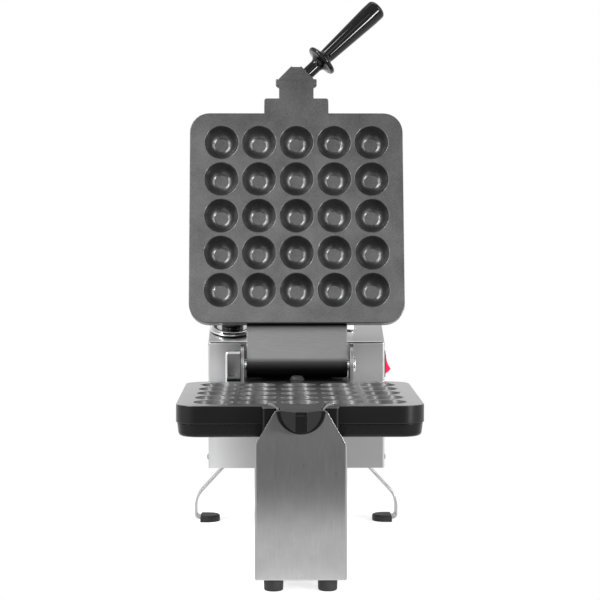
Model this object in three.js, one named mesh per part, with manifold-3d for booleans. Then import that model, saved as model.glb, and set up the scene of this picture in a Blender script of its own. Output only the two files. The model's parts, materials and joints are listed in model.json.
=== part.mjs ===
// Countertop waffle ball iron: two hinged plates that turn over on a stainless stand.
// Millimetres. X runs across, Y back from the front edge of the plates, Z up from the table.
// The whole is shifted last, so that its origin lies under its middle, on the table.
import * as THREE from 'three';
import { mergeVertices } from 'three/addons/utils/BufferGeometryUtils.js';
import Module from 'manifold-3d';

const wasm = await Module();
wasm.setup();

// Clearances
const gap = 0.3;
const runningGap = 0.5;
const cutOverrun = 1;
const weldTolerance = 1e-4;

// How finely round shapes are divided, in facets per turn, or per arc of an outline
const fineFacets = 32;
const roundFacets = 20;
const smallFacets = 8;
const cornerFacets = 4;
const bendFacets = 4;
const archFacets = 12;

// Irons: a cast plate with half balls, and a heating case under it
const partingHeight = 174.5;
const ironSize = 240;
const ironCorner = 22;
const plateFloor = 2.2;
const plateRim = 0.8;
const caseThickness = 13;
const caseInset = 1;
const caseTaper = 1.5;
const caseRound = 4;
const caseWall = 3;
const faceGap = 0.15;

// Half balls sunk in each plate
const ballsPerSide = 5;
const ballMargin = 35.6;
const ballLand = 4.2;
const ballDepthShare = 0.408;
const ballFloorShare = 0.395;
const ballShift = -1.5;
const ballRings = 2;
const ballFacets = 16;

// Journal at the front of each plate: tab, neck, collar and nose
const tabWidth = 72.6;
const tabLength = 17.4;
const tabHeight = 24;
const tabCorner = 2.5;
const neckRadius = 19.5;
const collarRadius = 23.3;
const collarLength = 8.2;
const noseLength = 15.2;
const noseFlat = 10.8;
const noseAngle = 44;
const notchHeight = 3.5;
const notchDepth = 2;

// Heating element and insulation in each case
const elementRadius = 3.2;
const elementSides = 6;
const elementSteps = 48;
const elementMargin = 16.1;
const elementTerminal = 10;
const elementBend = 14;
const padThickness = 3;
const padMargin = 4;

// Case screws
const screwRadius = 2.5;
const screwHeadRadius = 5;
const screwHeadHeight = 2.4;
const screwBite = 6;
const screwClearance = 0.3;

// Hinge between the irons
const lidLean = 12.64;
const hingeSetback = 44.9;
const hingeRise = 14;
const barrelRadius = 14;
const armWidth = 111.4;
const armRootLow = 9;
const armFlangeMargin = 16.8;
const armFlangeThickness = 3;
const pinRadius = 6;
const pinHeadRadius = 9;
const pinHeadLength = 2.4;
const pinNutRadius = 9;
const pinNutLength = 6;
const nutSides = 6;

// Carrier yoke that joins the lower iron and the hinge to the turning shaft
const yokeSheet = 4;
const yokeDrop = 2;
const earClearance = 2.6;
const earRadius = 24;
const yokeBack = 66;
const yokeBackRise = 20;
const yokeBackDrop = 34;
const yokeBackWidth = 80;
const bumperRadius = 8;
const bumperRise = 4.6;
const bumperShoulder = 1.4;
const bumperSetback = 18;
const ductWidth = 16.2;
const ductFront = 18;
const ductTop = 31;
const ductSheet = 1.5;

// Turning shaft and its bearings
const shaftRadius = 17;
const shaftBore = 11;
const hubRadius = 34;
const hubThickness = 6;
const shaftOverhang = 10;
const bushWall = 3.5;
const bushFlange = 5;
const bushFlangeThickness = 2;
const bearingPlate = 6;
const bearingHalfWidth = 32;
const rearBearingSetback = 56;
const shaftRingWall = 4;
const shaftRingLength = 5;

// Front column
const sheet = 2;
const columnSetback = 31.3;
const columnWidth = 87;
const columnBottom = 12.4;
const shoulderDrop = 34.5;
const shoulderRound = 12;
const hornHalfWidth = 24;
const hornDrop = 2;
const columnDepth = 29;
const columnNeckDepth = 12;
const backCoverDrop = 66.5;

// Saddle strip that carries the journal
const saddleInner = 20;
const saddleThickness = 1.5;
const saddleStandoff = 1.6;
const saddleDipAngle = 10;
const lipRadius = 9;
const lipEndAngle = 85;

// Front feet
const footRadius = 9.5;
const footSpread = 51.4;
const footRound = 1.5;
const footSetback = 17;

// Spine beam and riser
const spineHeight = 31;
const spineSetback = 8;
const riserInset = 16;
const riserSetback = 12;
const riserWall = 3;

// Rear housing
const housingClearance = 3.7;
const housingDepth = 90;
const housingWidth = 199.6;
const housingBottom = 68;
const housingTopRise = 36.7;
const housingSlope = 16;
const housingSheet = 1.5;
const baseFlange = 22;
const shaftHole = 18;

// Housing screws
const coverScrewRadius = 2;
const coverScrewHead = 3.4;
const coverScrewHeadHeight = 1.6;
const coverScrewLength = 5;
const coverScrewRise = 11;
const coverScrewInset = 15;

// Rear legs and their feet
const legSheet = 2.4;
const legWidth = 24;
const legSetback = 47;
const legFlangeLength = 23.2;
const legKneeInset = 18.6;
const legKneeRound = 8;
const legSpread = 16;
const legElbowHeight = 29;
const legElbowRound = 30;
const legFootHeight = 4.6;
const legFootRound = 4.5;
const legFootLength = 18;
const shoeHeight = 7.6;
const shoeLap = 9.5;
const shoeInset = 5.2;
const shoeMargin = 2.4;

// Thermostat knob
const knobInset = 26.8;
const knobUpSlope = 38.5;
const skirtRadius = 26;
const skirtHeight = 5;
const skirtRim = 3.2;
const skirtDish = 2;
const gripRadius = 12.4;
const gripHeight = 20;
const gripDome = 1.5;
const spindleRadius = 3;
const spindleLength = 13;
const knobLift = 0.8;
const thermostatSize = 34;
const thermostatHeight = 18;

// Pilot lamp
const lampInset = 37.2;
const lampUpSlope = 41;
const lampRadius = 5;
const lampRise = 8;
const bezelRadius = 6.5;
const bezelHeight = 1.8;
const bezelBodyLength = 16;

// Rocker switch
const switchSetback = 26;
const switchRise = 10.3;
const switchTall = 30;
const switchDeep = 22;
const switchFrameProud = 1.8;
const switchFrameWall = 1.5;
const switchBodyDepth = 20;
const switchBodyWall = 1.2;
const rockerTilt = 18;
const rockerProud = 3.9;
const rockerDip = 1.4;
const rockerDepth = 9;

// Inner electrics
const terminalWidth = 44;
const terminalDepth = 18;
const terminalHeight = 16;
const terminalPlaceShare = 0.465;
const limiterWidth = 30;
const limiterDepth = 34;
const limiterHeight = 28;
const limiterPlaceShare = 0.527;
const electricsSetback = 40;

// Cable gland
const glandRadius = 9;
const glandNutRadius = 12;
const glandNutLength = 7;
const glandReach = 14;
const glandBore = 4;
const glandInset = 39.8;
const glandRise = 26;

// Handle, turned from one piece on a stud
const studRadius = 4;
const studBite = 9;
const studRise = 7.6;
const studBossRadius = 7.1;
const studBossLength = 4;
const gripLength = 111;
const ferruleRadius = 7.15;
const ferruleLength = 11;
const guardRadius = 19.3;
const guardStart = 16;
const guardEnd = 22;
const guardEdge = 2;
const guardFlareShare = 0.4;
const gripStart = 27;
const gripThin = 8.4;
const gripThick = 11.8;
const gripEndRound = 2.4;
const gripEndDome = 1.6;
const studSocketDepth = 24;

// Values worked out from the sizes above
const degree = Math.PI / 180;
const ballPitch = (ironSize - 2 * ballMargin) / (ballsPerSide - 1);
const ballMouth = ballPitch - ballLand;
const ballDepth = ballMouth * ballDepthShare;
const plateThickness = ballDepth + plateFloor;
const ironDepth = plateThickness + gap + caseThickness;
const neckFront = -columnSetback - runningGap;
const collarFront = neckFront - collarLength;
const noseFront = collarFront - noseLength;
const hingeY = ironSize + hingeSetback;
const caseHalf = ironSize / 2 - caseInset;
const ballCentreY = ironSize / 2 + ballShift;
const earInner = armWidth / 2 + earClearance;
const earOuter = earInner + yokeSheet;
const yokeBackY = ironSize + yokeBack;
const hubFront = yokeBackY + yokeSheet + gap;
const hubBack = hubFront + hubThickness;
const housingFront = hubBack + housingClearance;
const housingBack = housingFront + housingDepth;
const housingHalf = housingWidth / 2;
const housingRise = housingDepth * Math.tan(housingSlope * degree);
const housingFrontTop = partingHeight + housingTopRise;
const baseTop = housingBottom + housingSheet;
const footPlaces = [-footSpread / 2, footSpread / 2];
const coverScrewPlaces = [housingFront + coverScrewInset, housingBack - coverScrewInset];
const elementLevel = -plateThickness - gap - elementRadius;
const elementHalfSpan = caseHalf - caseTaper - caseWall - elementMargin;
const shoulderHeight = partingHeight - shoulderDrop;
const backCoverTop = partingHeight - backCoverDrop;
const spineHalf = columnWidth / 2 - sheet - gap;
const spineBottom = columnBottom + sheet + gap;
const spineTop = spineBottom + spineHeight;
const spineEnd = housingBack - spineSetback;
const riserFront = housingFront + riserInset;
const riserBack = housingBack - riserSetback;
const legCentre = housingFront + legSetback;
const legKneeHalfSpan = housingHalf - legKneeInset;
const legElbowHalfSpan = housingHalf + legSpread;
const legFootInner = legElbowHalfSpan - legFootLength;
const knobAcross = knobInset - housingHalf;
const lampAcross = housingHalf - lampInset;
const glandAcross = housingHalf - glandInset;
const glandEnd = housingBack + glandReach;
const switchBack = housingFront + switchSetback;
const switchHeight = partingHeight + switchRise;
const upward = new THREE.Vector3(0, 0, 1);
const studX = (neckRadius + noseFlat / 2) / 2;
const studY = noseFront + (neckRadius - noseFlat / 2) / 2 / Math.tan(noseAngle * degree);

// Making and joining solids

function solid(geometry) {
  const bare = geometry.clone();
  bare.deleteAttribute('normal');
  bare.deleteAttribute('uv');
  const welded = mergeVertices(bare, weldTolerance);
  const points = welded.attributes.position;
  const corners = welded.index.array;
  const faces = [];
  let volume = 0;
  const [a, b, c] = [0, 1, 2].map(() => new THREE.Vector3());
  for (let i = 0; i < corners.length; i += 3) {
    const [p, q, r] = [corners[i], corners[i + 1], corners[i + 2]];
    if (p === q || q === r || r === p) continue;
    faces.push([p, q, r]);
    a.fromBufferAttribute(points, p);
    b.fromBufferAttribute(points, q);
    c.fromBufferAttribute(points, r);
    volume += a.dot(b.cross(c));
  }
  const outward = volume < 0 ? faces.map(([p, q, r]) => [p, r, q]) : faces;
  return new wasm.Manifold(new wasm.Mesh({
    numProp: 3,
    vertProperties: new Float32Array(points.array),
    triVerts: new Uint32Array(outward.flat()),
  }));
}

function geometryOf(body) {
  const mesh = body.getMesh();
  const geometry = new THREE.BufferGeometry();
  geometry.setAttribute('position', new THREE.BufferAttribute(mesh.vertProperties, 3));
  geometry.setIndex(new THREE.BufferAttribute(mesh.triVerts, 1));
  geometry.computeVertexNormals();
  return geometry;
}

const join = (first, ...others) => others.reduce((body, other) => body.add(other), first);
const cut = (first, ...others) => others.reduce((body, other) => body.subtract(other), first);

// A box between pairs of limits across, back and up
function block([x0, x1], [y0, y1], [z0, z1]) {
  const geometry = new THREE.BoxGeometry(x1 - x0, y1 - y0, z1 - z0);
  return solid(geometry.translate((x0 + x1) / 2, (y0 + y1) / 2, (z0 + z1) / 2));
}

const turnsTo = {
  x: new THREE.Matrix4().makeRotationZ(-Math.PI / 2),
  y: new THREE.Matrix4(),
  z: new THREE.Matrix4().makeRotationX(Math.PI / 2),
};

// A round bar along one axis, from one place on it to another, through a point
function bar(axis, radius, [from, to], point, facets = roundFacets) {
  const geometry = new THREE.CylinderGeometry(radius, radius, to - from, facets);
  geometry.translate(0, (from + to) / 2, 0).applyMatrix4(turnsTo[axis]);
  return solid(geometry.translate(...point));
}

// A turned piece on the up axis, from pairs of radius and height that start and end on the axis
function turned(profile, facets = roundFacets) {
  const points = profile.map(([radius, height]) => new THREE.Vector2(radius, height));
  return solid(new THREE.LatheGeometry(points, facets).applyMatrix4(turnsTo.z));
}

// A shape drawn by corners of across, up and an optional rounding
function outline(corners) {
  const shape = new THREE.Shape();
  corners.forEach(([x, y, radius = 0], i) => {
    const here = new THREE.Vector2(x, y);
    const before = new THREE.Vector2(...corners.at(i - 1).slice(0, 2)).sub(here).normalize();
    const after = new THREE.Vector2(...corners[(i + 1) % corners.length].slice(0, 2));
    after.sub(here).normalize();
    const half = Math.acos(THREE.MathUtils.clamp(before.dot(after), -1, 1)) / 2;
    const start = here.clone().addScaledVector(before, radius / Math.tan(half));
    if (i) shape.lineTo(start.x, start.y);
    else shape.moveTo(start.x, start.y);
    if (!radius) return;
    const end = here.clone().addScaledVector(after, radius / Math.tan(half));
    const middle = before.clone().add(after).normalize();
    const centre = here.clone().addScaledVector(middle, radius / Math.sin(half));
    const clockwise = before.cross(after) > 0;
    start.sub(centre);
    end.sub(centre);
    shape.absarc(centre.x, centre.y, radius, start.angle(), end.angle(), clockwise);
  });
  return shape;
}

const facing = {
  plan: new THREE.Matrix4(),
  side: new THREE.Matrix4().makeBasis(
    new THREE.Vector3(0, 1, 0), new THREE.Vector3(0, 0, 1), new THREE.Vector3(1, 0, 0)),
  front: new THREE.Matrix4().makeBasis(
    new THREE.Vector3(1, 0, 0), new THREE.Vector3(0, 0, 1), new THREE.Vector3(0, -1, 0)),
};

// An arch of a half width, from a foot up to a round top about a centre
function arch(half, foot, across, up) {
  const shape = new THREE.Shape();
  shape.moveTo(across - half, foot);
  shape.lineTo(across + half, foot);
  shape.absarc(across, up, half, 0, Math.PI, false);
  return shape;
}

// A strip of even thickness along an open line of corners
function strip(corners, thickness, facets) {
  const middle = outline(corners).getPoints(facets / 2);
  const edge = (sign) => middle.map((point, i) => {
    const along = (middle[i + 1] ?? point).clone().sub(middle[i - 1] ?? point).normalize();
    const offset = (sign * thickness) / 2;
    return new THREE.Vector2(point.x - along.y * offset, point.y + along.x * offset);
  });
  return new THREE.Shape([...edge(1), ...edge(-1).reverse()]);
}

// A shape drawn in plan, from the side or from the front, and made thick along the third axis
function extruded(view, shape, [from, to], facets = cornerFacets) {
  const options = { depth: to - from, bevelEnabled: false, curveSegments: facets / 2 };
  const geometry = new THREE.ExtrudeGeometry(shape, options);
  geometry.translate(0, 0, view === 'front' ? -to : from);
  return solid(geometry.applyMatrix4(facing[view]));
}

// A closed skin through level rings of like points
function lofted(rings) {
  const count = rings[0].points.length;
  const positions = rings.flatMap(({ points, z }) => points.flatMap((p) => [p.x, p.y, z]));
  const index = [];
  for (let ring = 0; ring < rings.length - 1; ring += 1) {
    for (let i = 0; i < count; i += 1) {
      const [p, q] = [ring * count + i, ring * count + ((i + 1) % count)];
      index.push(p, q, q + count, p, q + count, p + count);
    }
  }
  const last = (rings.length - 1) * count;
  THREE.ShapeUtils.triangulateShape(rings[0].points, []).forEach(([p, q, r]) => {
    index.push(p, r, q, last + p, last + q, last + r);
  });
  const geometry = new THREE.BufferGeometry();
  geometry.setAttribute('position', new THREE.Float32BufferAttribute(positions, 3));
  geometry.setIndex(index);
  return solid(geometry);
}

// The square outline of an iron, drawn in by an inset
function ironOutline(inset) {
  const [low, high] = [inset, ironSize - inset];
  const half = ironSize / 2 - inset;
  const radius = Math.max(ironCorner - inset, ironCorner / 2);
  const corners = [[-half, low, radius], [half, low, radius], [half, high, radius], [-half, high, radius]];
  return outline(corners).getPoints(cornerFacets / 2);
}

// One mesh for each named piece
function piece(parent, name, body, material) {
  const mesh = new THREE.Mesh(geometryOf(body), material);
  mesh.name = name;
  parent.add(mesh);
  return mesh;
}

function finish(color, roughness, metalness) {
  return new THREE.MeshStandardMaterial({ color, roughness, metalness });
}

const finishes = {
  coating: finish(0x4b4c4e, 0.55, 0.3),
  caseMetal: finish(0x1d1d1f, 0.5, 0.4),
  stainless: finish(0xb4b5b6, 0.35, 0.9),
  satinSteel: finish(0x97989a, 0.45, 0.8),
  polished: finish(0xd8d9da, 0.12, 1),
  heater: finish(0x6e6a66, 0.5, 0.7),
  insulation: finish(0xd9d4c8, 0.9, 0),
  rubber: finish(0x1a1a1b, 0.8, 0),
  blackPlastic: finish(0x0c0c0d, 0.2, 0),
  mattPlastic: finish(0x232324, 0.6, 0),
  palePlastic: finish(0xe6e2d6, 0.5, 0),
  bronze: finish(0xa8834a, 0.4, 0.9),
  redPlastic: finish(0xdc1238, 0.25, 0),
  lens: finish(0xf2f2ee, 0.1, 0),
};

// Irons. Each is drawn as the lower one: its cooking face is level with the parting plane.

function ballCutter() {
  const mouth = ballMouth / 2;
  const floor = (ballMouth * ballFloorShare) / 2;
  const centre = (mouth ** 2 - floor ** 2 - ballDepth ** 2) / (2 * ballDepth);
  const radius = Math.hypot(mouth, centre);
  const start = Math.atan2(floor, ballDepth + centre);
  const end = Math.atan2(mouth, centre);
  const profile = [[0, -ballDepth]];
  for (let ring = 0; ring <= ballRings; ring += 1) {
    const angle = start + ((end - start) * ring) / ballRings;
    profile.push([radius * Math.sin(angle), centre - radius * Math.cos(angle)]);
  }
  profile.push([mouth, cutOverrun], [0, cutOverrun]);
  return turned(profile, ballFacets);
}

const ballPlaces = [];
for (let row = 0; row < ballsPerSide; row += 1) {
  for (let column = 0; column < ballsPerSide; column += 1) {
    const middle = (ballsPerSide - 1) / 2;
    ballPlaces.push([(column - middle) * ballPitch, ballCentreY + (row - middle) * ballPitch]);
  }
}

// Case screws stand midway between four half balls: two at the back, two at the front
const screwReach = 1.5 * ballPitch;
const screwPlaces = [
  [-ballPitch / 2, ballCentreY + screwReach],
  [ballPitch / 2, ballCentreY + screwReach],
  [-screwReach, ballCentreY - screwReach],
  [screwReach, ballCentreY - screwReach],
];

// The lower half of a round bar on the turning axis
function halfBar(radius, from, to) {
  const whole = bar('y', radius, [from, to], [0, 0, 0], fineFacets);
  const reach = radius + cutOverrun;
  return cut(whole, block([-reach, reach], [from - cutOverrun, to + cutOverrun], [-faceGap, reach]));
}

function nose() {
  const run = noseLength + cutOverrun;
  const flat = noseFlat / 2;
  const wide = flat + run * Math.tan(noseAngle * degree);
  const back = noseFront + run;
  const plan = outline([[-flat, noseFront], [flat, noseFront], [wide, back], [-wide, back]]);
  const wedge = extruded('plan', plan, [-neckRadius - cutOverrun, cutOverrun]);
  const body = halfBar(neckRadius, noseFront - cutOverrun, collarFront + cutOverrun).intersect(wedge);
  const notch = block([-flat + gap, flat - gap], [noseFront - cutOverrun, noseFront + notchDepth],
    [-notchHeight, cutOverrun]);
  return cut(body, notch);
}

function tab() {
  const half = tabWidth / 2;
  const plan = outline([[-half, -tabLength, tabCorner], [half, -tabLength, tabCorner],
    [half, cutOverrun], [-half, cutOverrun]]);
  return extruded('plan', plan, [-tabHeight, -faceGap], bendFacets);
}

// The tapped hole for the handle, square to the nose's side face
function studHole() {
  const hole = bar('z', studRadius + gap, [-studBite - gap, cutOverrun], [0, 0, 0], smallFacets);
  const outward = new THREE.Vector3(-Math.cos(noseAngle * degree), -Math.sin(noseAngle * degree), 0);
  const turn = new THREE.Quaternion().setFromUnitVectors(upward, outward);
  return solid(geometryOf(hole).applyQuaternion(turn).translate(-studX, studY, -studRise));
}

function grillPlate() {
  const body = lofted([
    { z: -plateThickness, points: ironOutline(0) },
    { z: -faceGap - plateRim, points: ironOutline(0) },
    { z: -faceGap, points: ironOutline(plateRim) },
  ]);
  const journal = join(tab(), halfBar(neckRadius, neckFront - cutOverrun, -tabLength + cutOverrun),
    halfBar(collarRadius, collarFront, neckFront), nose());
  const ball = ballCutter();
  const balls = ballPlaces.map(([x, y]) => ball.translate([x, y, 0]));
  const holes = screwPlaces.map(([x, y]) => bar('z', screwRadius + screwClearance,
    [-plateThickness - cutOverrun, -plateThickness + screwBite + gap], [x, y, 0], smallFacets));
  return cut(join(body, journal), ...balls, ...holes);
}

function heatingCase() {
  const top = -plateThickness - gap;
  const bottom = top - caseThickness;
  const bend = caseRound * (1 - Math.SQRT1_2);
  const outer = lofted([
    { z: bottom, points: ironOutline(caseInset + caseTaper + caseRound) },
    { z: bottom + bend, points: ironOutline(caseInset + caseTaper + bend) },
    { z: bottom + caseRound, points: ironOutline(caseInset + caseTaper) },
    { z: top, points: ironOutline(caseInset) },
  ]);
  const inner = lofted([
    { z: bottom + caseWall, points: ironOutline(caseInset + caseTaper + caseWall) },
    { z: top + cutOverrun, points: ironOutline(caseInset + caseTaper + caseWall) },
  ]);
  const holes = screwPlaces.map(([x, y]) => bar('z', screwRadius + screwClearance,
    [bottom - cutOverrun, bottom + caseWall + cutOverrun], [x, y, 0], smallFacets));
  const mouths = [-elementTerminal, elementTerminal].map((x) => block(
    [x - elementRadius - runningGap, x + elementRadius + runningGap],
    [ironSize - 2 * (caseInset + caseTaper + caseWall), ironSize],
    [elementLevel - elementRadius - runningGap, top + cutOverrun]));
  return cut(cut(outer, inner), ...holes, ...mouths);
}

// The element lies against the plate and runs in an M between the two terminals at the back
function elementRoute() {
  const [inner, outer] = [ballPitch, elementHalfSpan];
  const low = ballCentreY - 2 * ballPitch;
  const high = ballCentreY + 2 * ballPitch + elementRadius;
  const waist = ballCentreY + ballPitch;
  const half = [[elementTerminal, ironSize - caseInset], [elementTerminal, high], [outer, high],
    [outer, low], [inner, low], [inner, waist]];
  const mirrored = half.map(([x, y]) => [-x, y]).reverse();
  const corners = [...half, ...mirrored].map(([x, y]) => new THREE.Vector3(x, y, elementLevel));
  const path = new THREE.CurvePath();
  let from = corners[0];
  corners.slice(1, -1).forEach((corner, i) => {
    const next = corners[i + 2];
    const before = corners[i].clone().sub(corner).normalize();
    const after = next.clone().sub(corner).normalize();
    const bend = Math.min(elementBend, corner.distanceTo(next) / 2, corner.distanceTo(corners[i]) / 2);
    const start = corner.clone().addScaledVector(before, bend);
    const end = corner.clone().addScaledVector(after, bend);
    path.add(new THREE.LineCurve3(from, start));
    path.add(new THREE.QuadraticBezierCurve3(start, corner, end));
    from = end;
  });
  path.add(new THREE.LineCurve3(from, corners.at(-1)));
  return path;
}

function heatingElement() {
  const ring = new THREE.Shape().absarc(0, 0, elementRadius, 0, 2 * Math.PI);
  const options = { extrudePath: elementRoute(), steps: elementSteps, curveSegments: elementSides / 2 };
  return solid(new THREE.ExtrudeGeometry(ring, options));
}

function insulationPad() {
  const inset = caseInset + caseTaper + caseWall + padMargin;
  const floor = -plateThickness - gap - caseThickness + caseWall + gap;
  const points = ironOutline(inset);
  const body = lofted([{ z: floor, points }, { z: floor + padThickness, points }]);
  const holes = screwPlaces.map(([x, y]) => bar('z', screwRadius + screwClearance,
    [floor - cutOverrun, floor + padThickness + cutOverrun], [x, y, 0], smallFacets));
  return cut(body, ...holes);
}

// A pan head screw that points up, with its seat at the height given
function caseScrew(seat) {
  const top = -plateThickness + screwBite;
  return join(
    bar('z', screwRadius, [seat - cutOverrun, top], [0, 0, 0], smallFacets),
    turned([[0, seat - screwHeadHeight], [screwHeadRadius / 2, seat - screwHeadHeight],
      [screwHeadRadius, seat - screwHeadHeight / 2], [screwHeadRadius, seat], [0, seat]], smallFacets));
}

function addIron(parent, side, plate, flangeThickness) {
  piece(parent, `${side}_grill_plate`, plate, finishes.coating);
  piece(parent, `${side}_heating_case`, heatingCase(), finishes.caseMetal);
  piece(parent, `${side}_heating_element`, heatingElement(), finishes.heater);
  piece(parent, `${side}_insulation_pad`, insulationPad(), finishes.insulation);
  const places = ['back_left', 'back_right', 'front_left', 'front_right'];
  screwPlaces.forEach(([x, y], i) => {
    const seat = -ironDepth - gap - (places[i].startsWith('back') ? flangeThickness + gap : 0);
    const screw = piece(parent, `${side}_case_screw_${places[i]}`, caseScrew(seat), finishes.satinSteel);
    screw.position.set(x, y, 0);
  });
}

// The flange that grips an iron's case from below, with clearance holes for its two back screws
function caseFlange(thickness) {
  const top = -ironDepth - gap;
  const front = ballCentreY + screwReach - armFlangeMargin;
  const body = block([-armWidth / 2, armWidth / 2], [front, ironSize + gap + yokeSheet],
    [top - thickness, top]);
  const holes = screwPlaces.slice(0, 2).map(([x, y]) => bar('z', screwRadius + screwClearance,
    [top - thickness - cutOverrun, top + cutOverrun], [x, y, 0], smallFacets));
  return cut(body, ...holes);
}

// Carrier, measured from the parting plane

function yoke() {
  const top = -yokeDrop;
  const half = armWidth / 2;
  const floor = block([-earOuter, earOuter], [ironSize + gap, yokeBackY + yokeSheet], [top - yokeSheet, top]);
  const front = block([-half, half], [ironSize + gap, ironSize + gap + yokeSheet],
    [-ironDepth - gap - armFlangeThickness, top]);
  const backPlate = block([-yokeBackWidth / 2, yokeBackWidth / 2], [yokeBackY, yokeBackY + yokeSheet],
    [-yokeBackDrop, yokeBackRise]);
  const earShape = arch(earRadius, top - yokeSheet, hingeY, hingeRise);
  const ears = [[-earOuter, -earInner], [earInner, earOuter]].map((span) => (
    extruded('side', earShape, span, archFacets)));
  const pinHole = bar('x', pinRadius + gap, [-earOuter - cutOverrun, earOuter + cutOverrun],
    [0, hingeY, hingeRise]);
  const wireHole = bar('y', shaftBore, [yokeBackY - cutOverrun, yokeBackY + yokeSheet + cutOverrun],
    [0, 0, 0]);
  return cut(join(floor, front, backPlate, ...ears, caseFlange(armFlangeThickness)), pinHole, wireHole);
}

function wireDuct() {
  const [outer, inner] = [-earOuter - gap - ductWidth, -earOuter - gap];
  const [front, back] = [ironSize + ductFront, yokeBackY + yokeSheet];
  const bottom = -yokeDrop - yokeSheet;
  const shell = block([outer, inner], [front, back], [bottom, ductTop]);
  const hollow = block([outer + ductSheet, inner + cutOverrun], [front + ductSheet, back - ductSheet],
    [bottom - cutOverrun, ductTop - ductSheet]);
  return cut(shell, hollow);
}

function hingePin() {
  const head = earOuter + gap;
  const end = earOuter + gap + pinNutLength + gap;
  return join(
    bar('x', pinRadius, [-end, head + cutOverrun], [0, hingeY, hingeRise]),
    bar('x', pinHeadRadius, [head, head + pinHeadLength], [0, hingeY, hingeRise]));
}

function pinNut() {
  const start = -earOuter - gap;
  const body = bar('x', pinNutRadius, [start - pinNutLength, start], [0, hingeY, hingeRise], nutSides);
  const bore = bar('x', pinRadius + gap, [start - pinNutLength - cutOverrun, start + cutOverrun],
    [0, hingeY, hingeRise]);
  return cut(body, bore);
}

function bumper() {
  const foot = -yokeDrop + gap;
  return turned([[0, foot], [bumperRadius, foot], [bumperRadius, bumperShoulder],
    [bumperRadius * Math.SQRT1_2, bumperShoulder + (bumperRise - bumperShoulder) * Math.SQRT1_2],
    [0, bumperRise]], smallFacets);
}

function turningShaft() {
  const end = housingBack - shaftOverhang;
  const body = join(
    bar('y', hubRadius, [hubFront, hubBack], [0, 0, 0], roundFacets),
    bar('y', shaftRadius, [hubBack - cutOverrun, end], [0, 0, 0], roundFacets));
  return cut(body, bar('y', shaftBore, [hubFront - cutOverrun, end + cutOverrun], [0, 0, 0]));
}

// Hinge arm of the lid, drawn closed: a barrel on the pin and a web up to the case
function hingeArm() {
  const rootY = ironSize + gap;
  const tangent = (height, side) => {
    const [dy, dz] = [rootY - hingeY, height - hingeRise];
    return Math.PI + Math.atan2(-dz, -dy) + side * Math.acos(barrelRadius / Math.hypot(dy, dz));
  };
  const low = tangent(armRootLow, 1);
  const high = tangent(ironDepth + gap, -1);
  const shape = new THREE.Shape();
  shape.moveTo(rootY, armRootLow);
  shape.absarc(hingeY, hingeRise, barrelRadius, low, high + 2 * Math.PI, false);
  shape.lineTo(rootY + gap + yokeSheet, ironDepth + gap + armFlangeThickness);
  shape.lineTo(rootY, ironDepth + gap + armFlangeThickness);
  const half = armWidth / 2;
  const web = extruded('side', shape, [-half, half], archFacets);
  const flange = caseFlange(armFlangeThickness);
  const flipped = solid(geometryOf(flange).rotateY(Math.PI));
  const bore = bar('x', pinRadius + gap, [-half - cutOverrun, half + cutOverrun], [0, hingeY, hingeRise]);
  return cut(join(web, flipped), bore);
}

// Handle, drawn standing on its stud

function handleGrip() {
  const profile = [[0, 0], [ferruleRadius, 0], [ferruleRadius, ferruleLength],
    [ferruleRadius + (guardRadius - ferruleRadius) * guardFlareShare, (ferruleLength + guardStart) / 2],
    [guardRadius - guardEdge, guardStart], [guardRadius, guardStart + guardEdge],
    [guardRadius, guardEnd - guardEdge], [guardRadius - guardEdge, guardEnd],
    [gripThin, gripStart], [gripThick, gripLength - gripEndRound - gripEndDome],
    [gripThick - gripEndRound, gripLength - gripEndDome], [0, gripLength]];
  const socket = bar('z', studRadius + gap, [-cutOverrun, studSocketDepth], [0, 0, 0], smallFacets);
  return cut(turned(profile), socket);
}

function handleStud() {
  const boss = turned([[0, gap], [studBossRadius, gap], [studBossRadius, studBossLength - gap],
    [0, studBossLength - gap]]);
  const rodEnd = studBossLength + studSocketDepth - 2 * gap;
  return join(boss, bar('z', studRadius, [-studBite, rodEnd], [0, 0, 0], smallFacets));
}

// Front column

function columnFace() {
  const half = columnWidth / 2;
  const cradle = saddleInner + saddleThickness + gap;
  const dip = Math.asin(hornDrop / cradle);
  const [low, shoulder] = [columnBottom - partingHeight, shoulderHeight - partingHeight];
  const face = outline([[-half, low], [half, low], [half, shoulder, shoulderRound],
    [hornHalfWidth, -hornDrop]]);
  face.absarc(0, 0, cradle, -dip, Math.PI + dip, true);
  face.lineTo(-hornHalfWidth, -hornDrop);
  const left = outline([[hornHalfWidth, -hornDrop], [half, shoulder, shoulderRound], [half, low]]);
  left.getPoints(cornerFacets / 2).forEach(({ x, y }) => face.lineTo(-x, y));
  return face;
}

function column() {
  const front = -columnSetback;
  const back = front + columnDepth;
  const neckBack = front + columnNeckDepth;
  const half = columnWidth / 2;
  const [low, shoulder] = [columnBottom - partingHeight, shoulderHeight - partingHeight];
  const step = backCoverTop - partingHeight;
  const face = extruded('front', columnFace(), [front, front + sheet], roundFacets);
  const sideShape = outline([[front, low], [back, low], [back, step], [neckBack, shoulder - shoulderRound],
    [front, shoulder - shoulderRound]]);
  const sides = [[-half, -half + sheet], [half - sheet, half]].map((span) => (
    extruded('side', sideShape, span)));
  const bottom = block([-half, half], [front, back], [low, low + sheet]);
  const footHoles = footPlaces.map((x) => bar('z', coverScrewRadius + gap,
    [low - cutOverrun, low + sheet + cutOverrun], [x, front + footSetback, 0], smallFacets));
  return cut(join(face, ...sides, bottom), ...footHoles);
}

function columnBack() {
  const back = columnDepth - columnSetback;
  const half = columnWidth / 2 - sheet - gap;
  return block([-half, half], [back - sheet, back], [spineTop + gap, backCoverTop]);
}

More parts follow.
